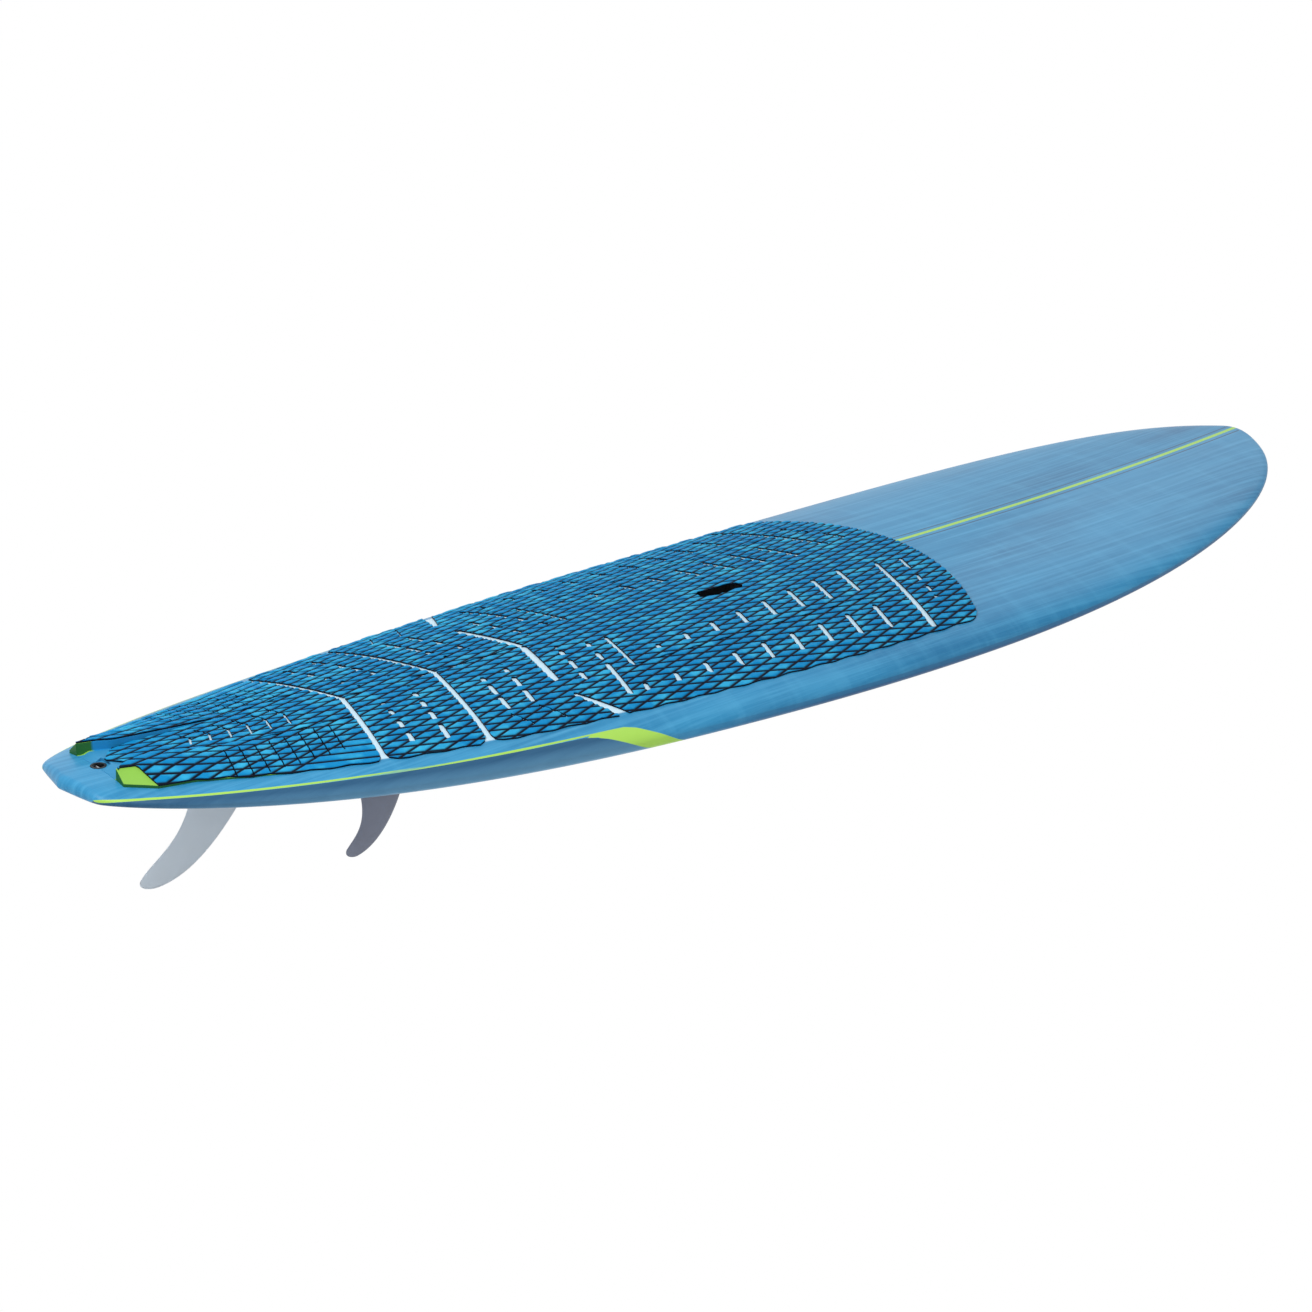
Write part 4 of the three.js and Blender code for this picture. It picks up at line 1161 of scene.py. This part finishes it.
class BOARD_OT_tail_pads(bpy.types.Operator):
    """Build the two wings and the arch of the tail pad"""

    bl_idname = "board.tail_pads"
    bl_label = "Tail Pads"

    def execute(self, context):
        sizes = context.scene.board_settings
        material = pad_foam()
        grip = (sizes.grip_depth, sizes.grip_groove)
        rear = KICK_REAR_X + 2

        def seam(y):
            return seam_x(0, y) - PAD_SEAM / 2

        xs = list(np.linspace(rear, KICK_EDGE_X, 12)) + list(np.linspace(KICK_EDGE_X + 6, seam(215) - 6, 44))
        outer = [(x, wing_outer(x) if x < 170 else wavy_edge(x)) for x in xs]
        front = [(seam(y), y) for y in np.linspace(wavy_edge(seam(215)) - 8, wing_inner(seam(72)), 10)]
        inner = [(x, wing_inner(x)) for x in np.linspace(seam(72) - 4, rear, 40)]
        port = outer + front + inner
        for name, side in (("port", 1), ("starboard", -1)):
            outline = [(x, side * y) for x, y in port]
            holes = [slit(x + 14, side * 76, x - 10, side * 164, 2.6) for x in np.linspace(243, 441, 8)]
            nodes = [f"tail_pad_{name}"]
            make_pad(f"tail_wing_{name}", outline, holes, material, over_kick, nodes, grip, WING_SLIT_FLOOR)
        edge = []
        for x in np.linspace(ARCH_PROW_X, seam(66) - 2, 40):
            prow = 3 + (x - ARCH_PROW_X) * ARCH_REAR_Y / (ARCH_REAR_X - ARCH_PROW_X)
            edge.append((x, min(float(cut_y(x)) - 1.2, prow)))
        outline = edge + [(seam(y), y) for y in np.linspace(64, 0, 7)]
        outline += [(x, -y) for x, y in outline[:-1]][::-1]
        holes = []
        for i in range(sizes.stripe_count):
            t = i / max(1, sizes.stripe_count - 1)
            vertex, half = 241 + 178 * t, 24 + 18 * t
            tip, front, back = vertex + 2.4, vertex - 9.5, vertex - 13.5
            chevron = [(tip, 0), (front, half), (back, half)]
            chevron += [(vertex - 2.4, 0), (back, -half), (front, -half)]
            holes.append(chevron)
        make_pad("tail_arch", outline, holes, material, over_kick, ["tail_pad_centre"], grip)
        return {"FINISHED"}


class BOARD_OT_deck_pads(bpy.types.Operator):
    """Build the middle and front deck pads with their slits"""

    bl_idname = "board.deck_pads"
    bl_label = "Deck Pads"

    def execute(self, context):
        sizes = context.scene.board_settings
        wide = sizes.slit_width
        material = pad_foam()
        grip = (sizes.grip_depth, sizes.grip_groove)
        mid = pad_outline(
            lambda y: seam_x(0, y) + PAD_SEAM / 2,
            lambda y: seam_x(1, y) - PAD_SEAM / 2,
            float(pad_edge_y(seam_x(0, 220))),
            float(pad_edge_y(seam_x(1, 250))),
        )
        holes = dash_row(592, 0.25, ((25, 29), (55, 66), (86, 102), (125, 149), (165, 196)), wide)
        holes += dash_row(656, 0.26, ((28, 32), (53, 73), (86, 111), (125, 153), (170, 213)), wide)
        holes += [slit(551 - 16, 0, 551 + 17, 0, 5), slit(672, 0, 708, 0, 5)]
        make_pad("pad_mid", mid, holes, material, on_deck, ["mid_pad"], grip)
        front = pad_outline(
            lambda y: seam_x(1, y) + PAD_SEAM / 2,
            lambda y: PAD_FRONT_X - PAD_FRONT_BOW * y * y,
            float(pad_edge_y(seam_x(1, 250))),
            float(pad_edge_y(PAD_FRONT_X - PAD_FRONT_BOW * 318**2)),
        )
        holes = [handle_cut(-4)]
        holes += dash_row(786, 0.236, ((42, 47), (70, 89), (99, 135), (145, 186)), wide)
        holes += dash_row(840, 0.26, ((46, 50), (61, 78), (98, 132), (145, 186)), wide)
        holes += dash_row(961, 0.27, ((38, 46), (56, 76), (96, 129), (143, 171)), wide)
        holes += dash_row(1019, 0.27, ((56, 76), (98, 126), (141, 250)), wide)
        holes += both_sides(733, 202, 752, 243, 3.2) + both_sides(792, 202, 817, 258, 3.2)
        holes += [slit(905, 0, 869, side * 148, 15) for side in (-1, 1)]
        holes += both_sides(866, 200, 911, 300, 9, 20)
        holes += [slit(722, 0, 897, 0, 5)]
        holes += both_sides(1045, 55, 1018, 173, 8)
        holes += angled_row(1097, 1560, 8, (130, 50), (146, 146), 0.3, wide)
        holes += angled_row(987, 1516, 9, (230, 206), (252, 283), 0.32, wide)
        holes += both_sides(1018, 172, 1300, 174, 2.6) + both_sides(1320, 174, 1605, 176, 2.6)
        holes += both_sides(1672, 65, 1590, 315, 9, 13)
        holes += dash_row(1752, 0.36, ((75, 123), (150, 175), (195, 215), (232, 243)), 8)
        blocks = [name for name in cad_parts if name.startswith("front_pad")]
        make_pad("pad_front", front, holes, material, on_deck, blocks, grip)
        return {"FINISHED"}


class BOARD_OT_fins(bpy.types.Operator):
    """Build the see-through centre fin and the two dark side fins"""

    bl_idname = "board.fins"
    bl_label = "Fins"

    def execute(self, context):
        lead = bezier([(65, 0), (28, -60), (-35, -178), FIN_TIP], 200)
        back = bezier([(-67, 0), (-66, -115), (-135, -135), (-157, -172)], 150)
        round_tip = bezier([(-157, -172), (-162, -182), (-148, -190), FIN_TIP], 60)
        trail = np.vstack([back, round_tip[1:]])
        fin = blade("fin_centre", lead, trail, FIN_THICKNESS)
        trim = box("trim", -400, 400, -60, 60, -3, 60)
        combine(fin, "DIFFERENCE", trim)
        combine(fin, "UNION", box("tab", -67, 65, -4.5, 4.5, -3.2, 20))
        place_fin(fin, fin_frame(FIN_X, 0, 0, 0))
        see_through = {"Transmission_Weight": 0.5, "IOR": 1.1}
        clear = plain_material("clear fin", (222, 228, 233), 0.4, scale=6.0, depth=0.00002, **see_through)
        finish_piece(paint(fin, clear), "centre_fin_body", ["centre_fin"])
        dark = plain_material("dark fin", (112, 116, 132), 0.26, scale=12.0, depth=0.00003, Coat_Weight=0.4)
        rear = -122 / 2 - 2 + 10 + 0.3
        lead = bezier([(rear + 88, 0), (24, -36), (-10, -98), SIDE_FIN_TIP], 200)
        back = bezier([(rear, 0), (-38, -58), (-62, -72), (-80, -92)], 150)
        round_tip = bezier([(-80, -92), (-86, -101), (-76, -108), SIDE_FIN_TIP], 60)
        trail = np.vstack([back, round_tip[1:]])
        for name, side in (("port", 1), ("starboard", -1)):
            fin = blade(f"fin_{name}", lead, trail, SIDE_FIN_THICKNESS)
            combine(fin, "DIFFERENCE", box("trim", -400, 400, -60, 60, -2, 60))
            combine(fin, "UNION", box("tab", rear, rear + 88, -3.2, 3.2, -2.2, 15))
            toe_in, cant = -side * SIDE_FIN_TOE_IN, side * SIDE_FIN_CANT
            place_fin(fin, fin_frame(SIDE_FIN_X, side * SIDE_FIN_Y, toe_in, cant))
            finish_piece(paint(fin, dark), f"{name}_fin_body", [f"side_fin_{name}"])
        return {"FINISHED"}


class BOARD_OT_hardware(bpy.types.Operator):
    """Give every remaining fitting its finish"""

    bl_idname = "board.hardware"
    bl_label = "Fittings"

    def execute(self, context):
        black = plain_material("black plastic", (20, 22, 25), 0.42)
        steel = plain_material("stainless steel", (185, 190, 196), 0.3, 1.0, 500.0)
        brass = plain_material("brass", (176, 141, 74), 0.35, 1.0, 500.0)
        rubber = plain_material("seal rubber", (16, 16, 16), 0.7)
        foam = plain_material("blank foam", (232, 236, 238), 0.85, scale=220.0, depth=0.0008)
        wood = wood_material()
        parts = ("rear", "side", "floor", "front")
        cups = ("handle_cup", "vent_body", "vent_screw", "leash_cup")
        groups = {
            black: cups + ("centre_fin_box", "side_fin_box_port", "side_fin_box_starboard"),
            steel: ("leash_pin", "centre_fin_screw", "side_fin_screw_port", "side_fin_screw_starboard"),
            brass: ("centre_fin_pin", "centre_fin_nut_plate"),
            rubber: ("vent_oring",),
            foam: [f"core_{part}_{side}" for part in parts for side in ("port", "starboard")],
            wood: ("stringer",),
        }
        for material, names in groups.items():
            for name in names:
                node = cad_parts[name]
                paint(node, material)
                node.data.shade_smooth()
                node.data.set_sharp_from_angle(angle=math.radians(30))
        return {"FINISHED"}


class BOARD_OT_stage(bpy.types.Operator):
    """Set up the floor, lights, world and camera"""

    bl_idname = "board.stage"
    bl_label = "Stage"

    def execute(self, context):
        scene = context.scene
        sizes = scene.board_settings
        corners = [(-40, -40, 0), (40, -40, 0), (40, 40, 0), (-40, 40, 0)]
        floor = new_piece("floor", corners, [(0, 1, 2, 3)], framed=False)
        material, g, shader = new_material("floor")
        shader.inputs["Base Color"].default_value = (0.8, 0.8, 0.8, 1)
        shader.inputs["Roughness"].default_value = 0.9
        white = g.node("ShaderNodeEmission", Color=(1, 1, 1, 1), Strength=1.0)
        seen = background_rays(g)
        both = g.tree.nodes.new("ShaderNodeMixShader")
        g.feed(both.inputs[0], seen)
        g.tree.links.new(shader.outputs[0], both.inputs[1])
        g.tree.links.new(white.outputs[0], both.inputs[2])
        out = next(n for n in g.tree.nodes if n.type == "OUTPUT_MATERIAL")
        g.tree.links.new(both.outputs[0], out.inputs[0])
        paint(floor, material)
        floor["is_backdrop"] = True
        world = bpy.data.worlds.new("studio")
        scene.world = world
        world.use_nodes = True
        w = Graph(world.node_tree)
        back = world.node_tree.nodes["Background"]
        seen = background_rays(w)
        w.feed(back.inputs["Color"], w.mix(seen, (0.82, 0.88, 0.95, 1), (1, 1, 1, 1)))
        w.feed(back.inputs["Strength"], w.math("ADD", w.math("MULTIPLY", seen, 0.35), 0.65))
        for name, power, size, place, aim in (
            ("key", 85, 2.4, (-2.4, -0.4, 3.4), (-0.6, 0, 0.2)),
            ("fill", 10, 3.0, (-2.5, -4.5, 1.6), (0, 0, 0.2)),
            ("rim", 12, 2.0, (3.5, 1.5, 2.6), (0.6, 0, 0.2)),
        ):
            light = bpy.data.lights.new(name, "AREA")
            light.energy = power
            light.size = size
            lamp = bpy.data.objects.new(name, light)
            scene.collection.objects.link(lamp)
            away = np.array(place) - np.array(aim)
            lamp.location = place
            tilt = math.acos(away[2] / np.linalg.norm(away))
            lamp.rotation_euler = (tilt, 0, math.atan2(away[0], -away[1]))
        camera = bpy.data.objects.new("camera", bpy.data.cameras.new("camera"))
        scene.collection.objects.link(camera)
        camera.data.lens = sizes.lens
        camera.data.sensor_width = 36
        camera.data.clip_end = 100
        tilt = Matrix.Rotation(math.pi / 2 - sizes.elevation, 4, "X")
        turned = Matrix.Rotation(-sizes.azimuth, 4, "Z") @ tilt
        turned = turned @ Matrix.Rotation(sizes.roll, 4, "Z")
        camera.matrix_world = Matrix.Translation((sizes.camera_x, sizes.camera_y, sizes.camera_z)) @ turned
        scene.camera = camera
        scene.view_settings.view_transform = "Standard"
        return {"FINISHED"}


STEPS = (
    BOARD_OT_skins,
    BOARD_OT_kick,
    BOARD_OT_tail_pads,
    BOARD_OT_deck_pads,
    BOARD_OT_fins,
    BOARD_OT_hardware,
    BOARD_OT_stage,
)


class BOARD_PT_panel(bpy.types.Panel):
    """Sidebar panel of the board's steps and sizes"""

    bl_idname = "BOARD_PT_panel"
    bl_label = "Board"
    bl_space_type = "VIEW_3D"
    bl_region_type = "UI"
    bl_category = "Board"

    def draw(self, context):
        for name in BoardSettings.__annotations__:
            self.layout.prop(context.scene.board_settings, name)
        for step in STEPS:
            self.layout.operator(step.bl_idname)


CLASSES = (BoardSettings, *STEPS, BOARD_PT_panel)


def register():
    for item in CLASSES:
        bpy.utils.register_class(item)
    bpy.types.Scene.board_settings = PointerProperty(type=BoardSettings)


def unregister():
    del bpy.types.Scene.board_settings
    for item in reversed(CLASSES):
        bpy.utils.unregister_class(item)


def corners():
    low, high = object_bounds()
    return [list(low), list(high)]


def main():
    register()
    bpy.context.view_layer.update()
    for step in STEPS:
        group, name = step.bl_idname.split(".")
        getattr(getattr(bpy.ops, group), name)()


if __name__ == "__main__":
    main()
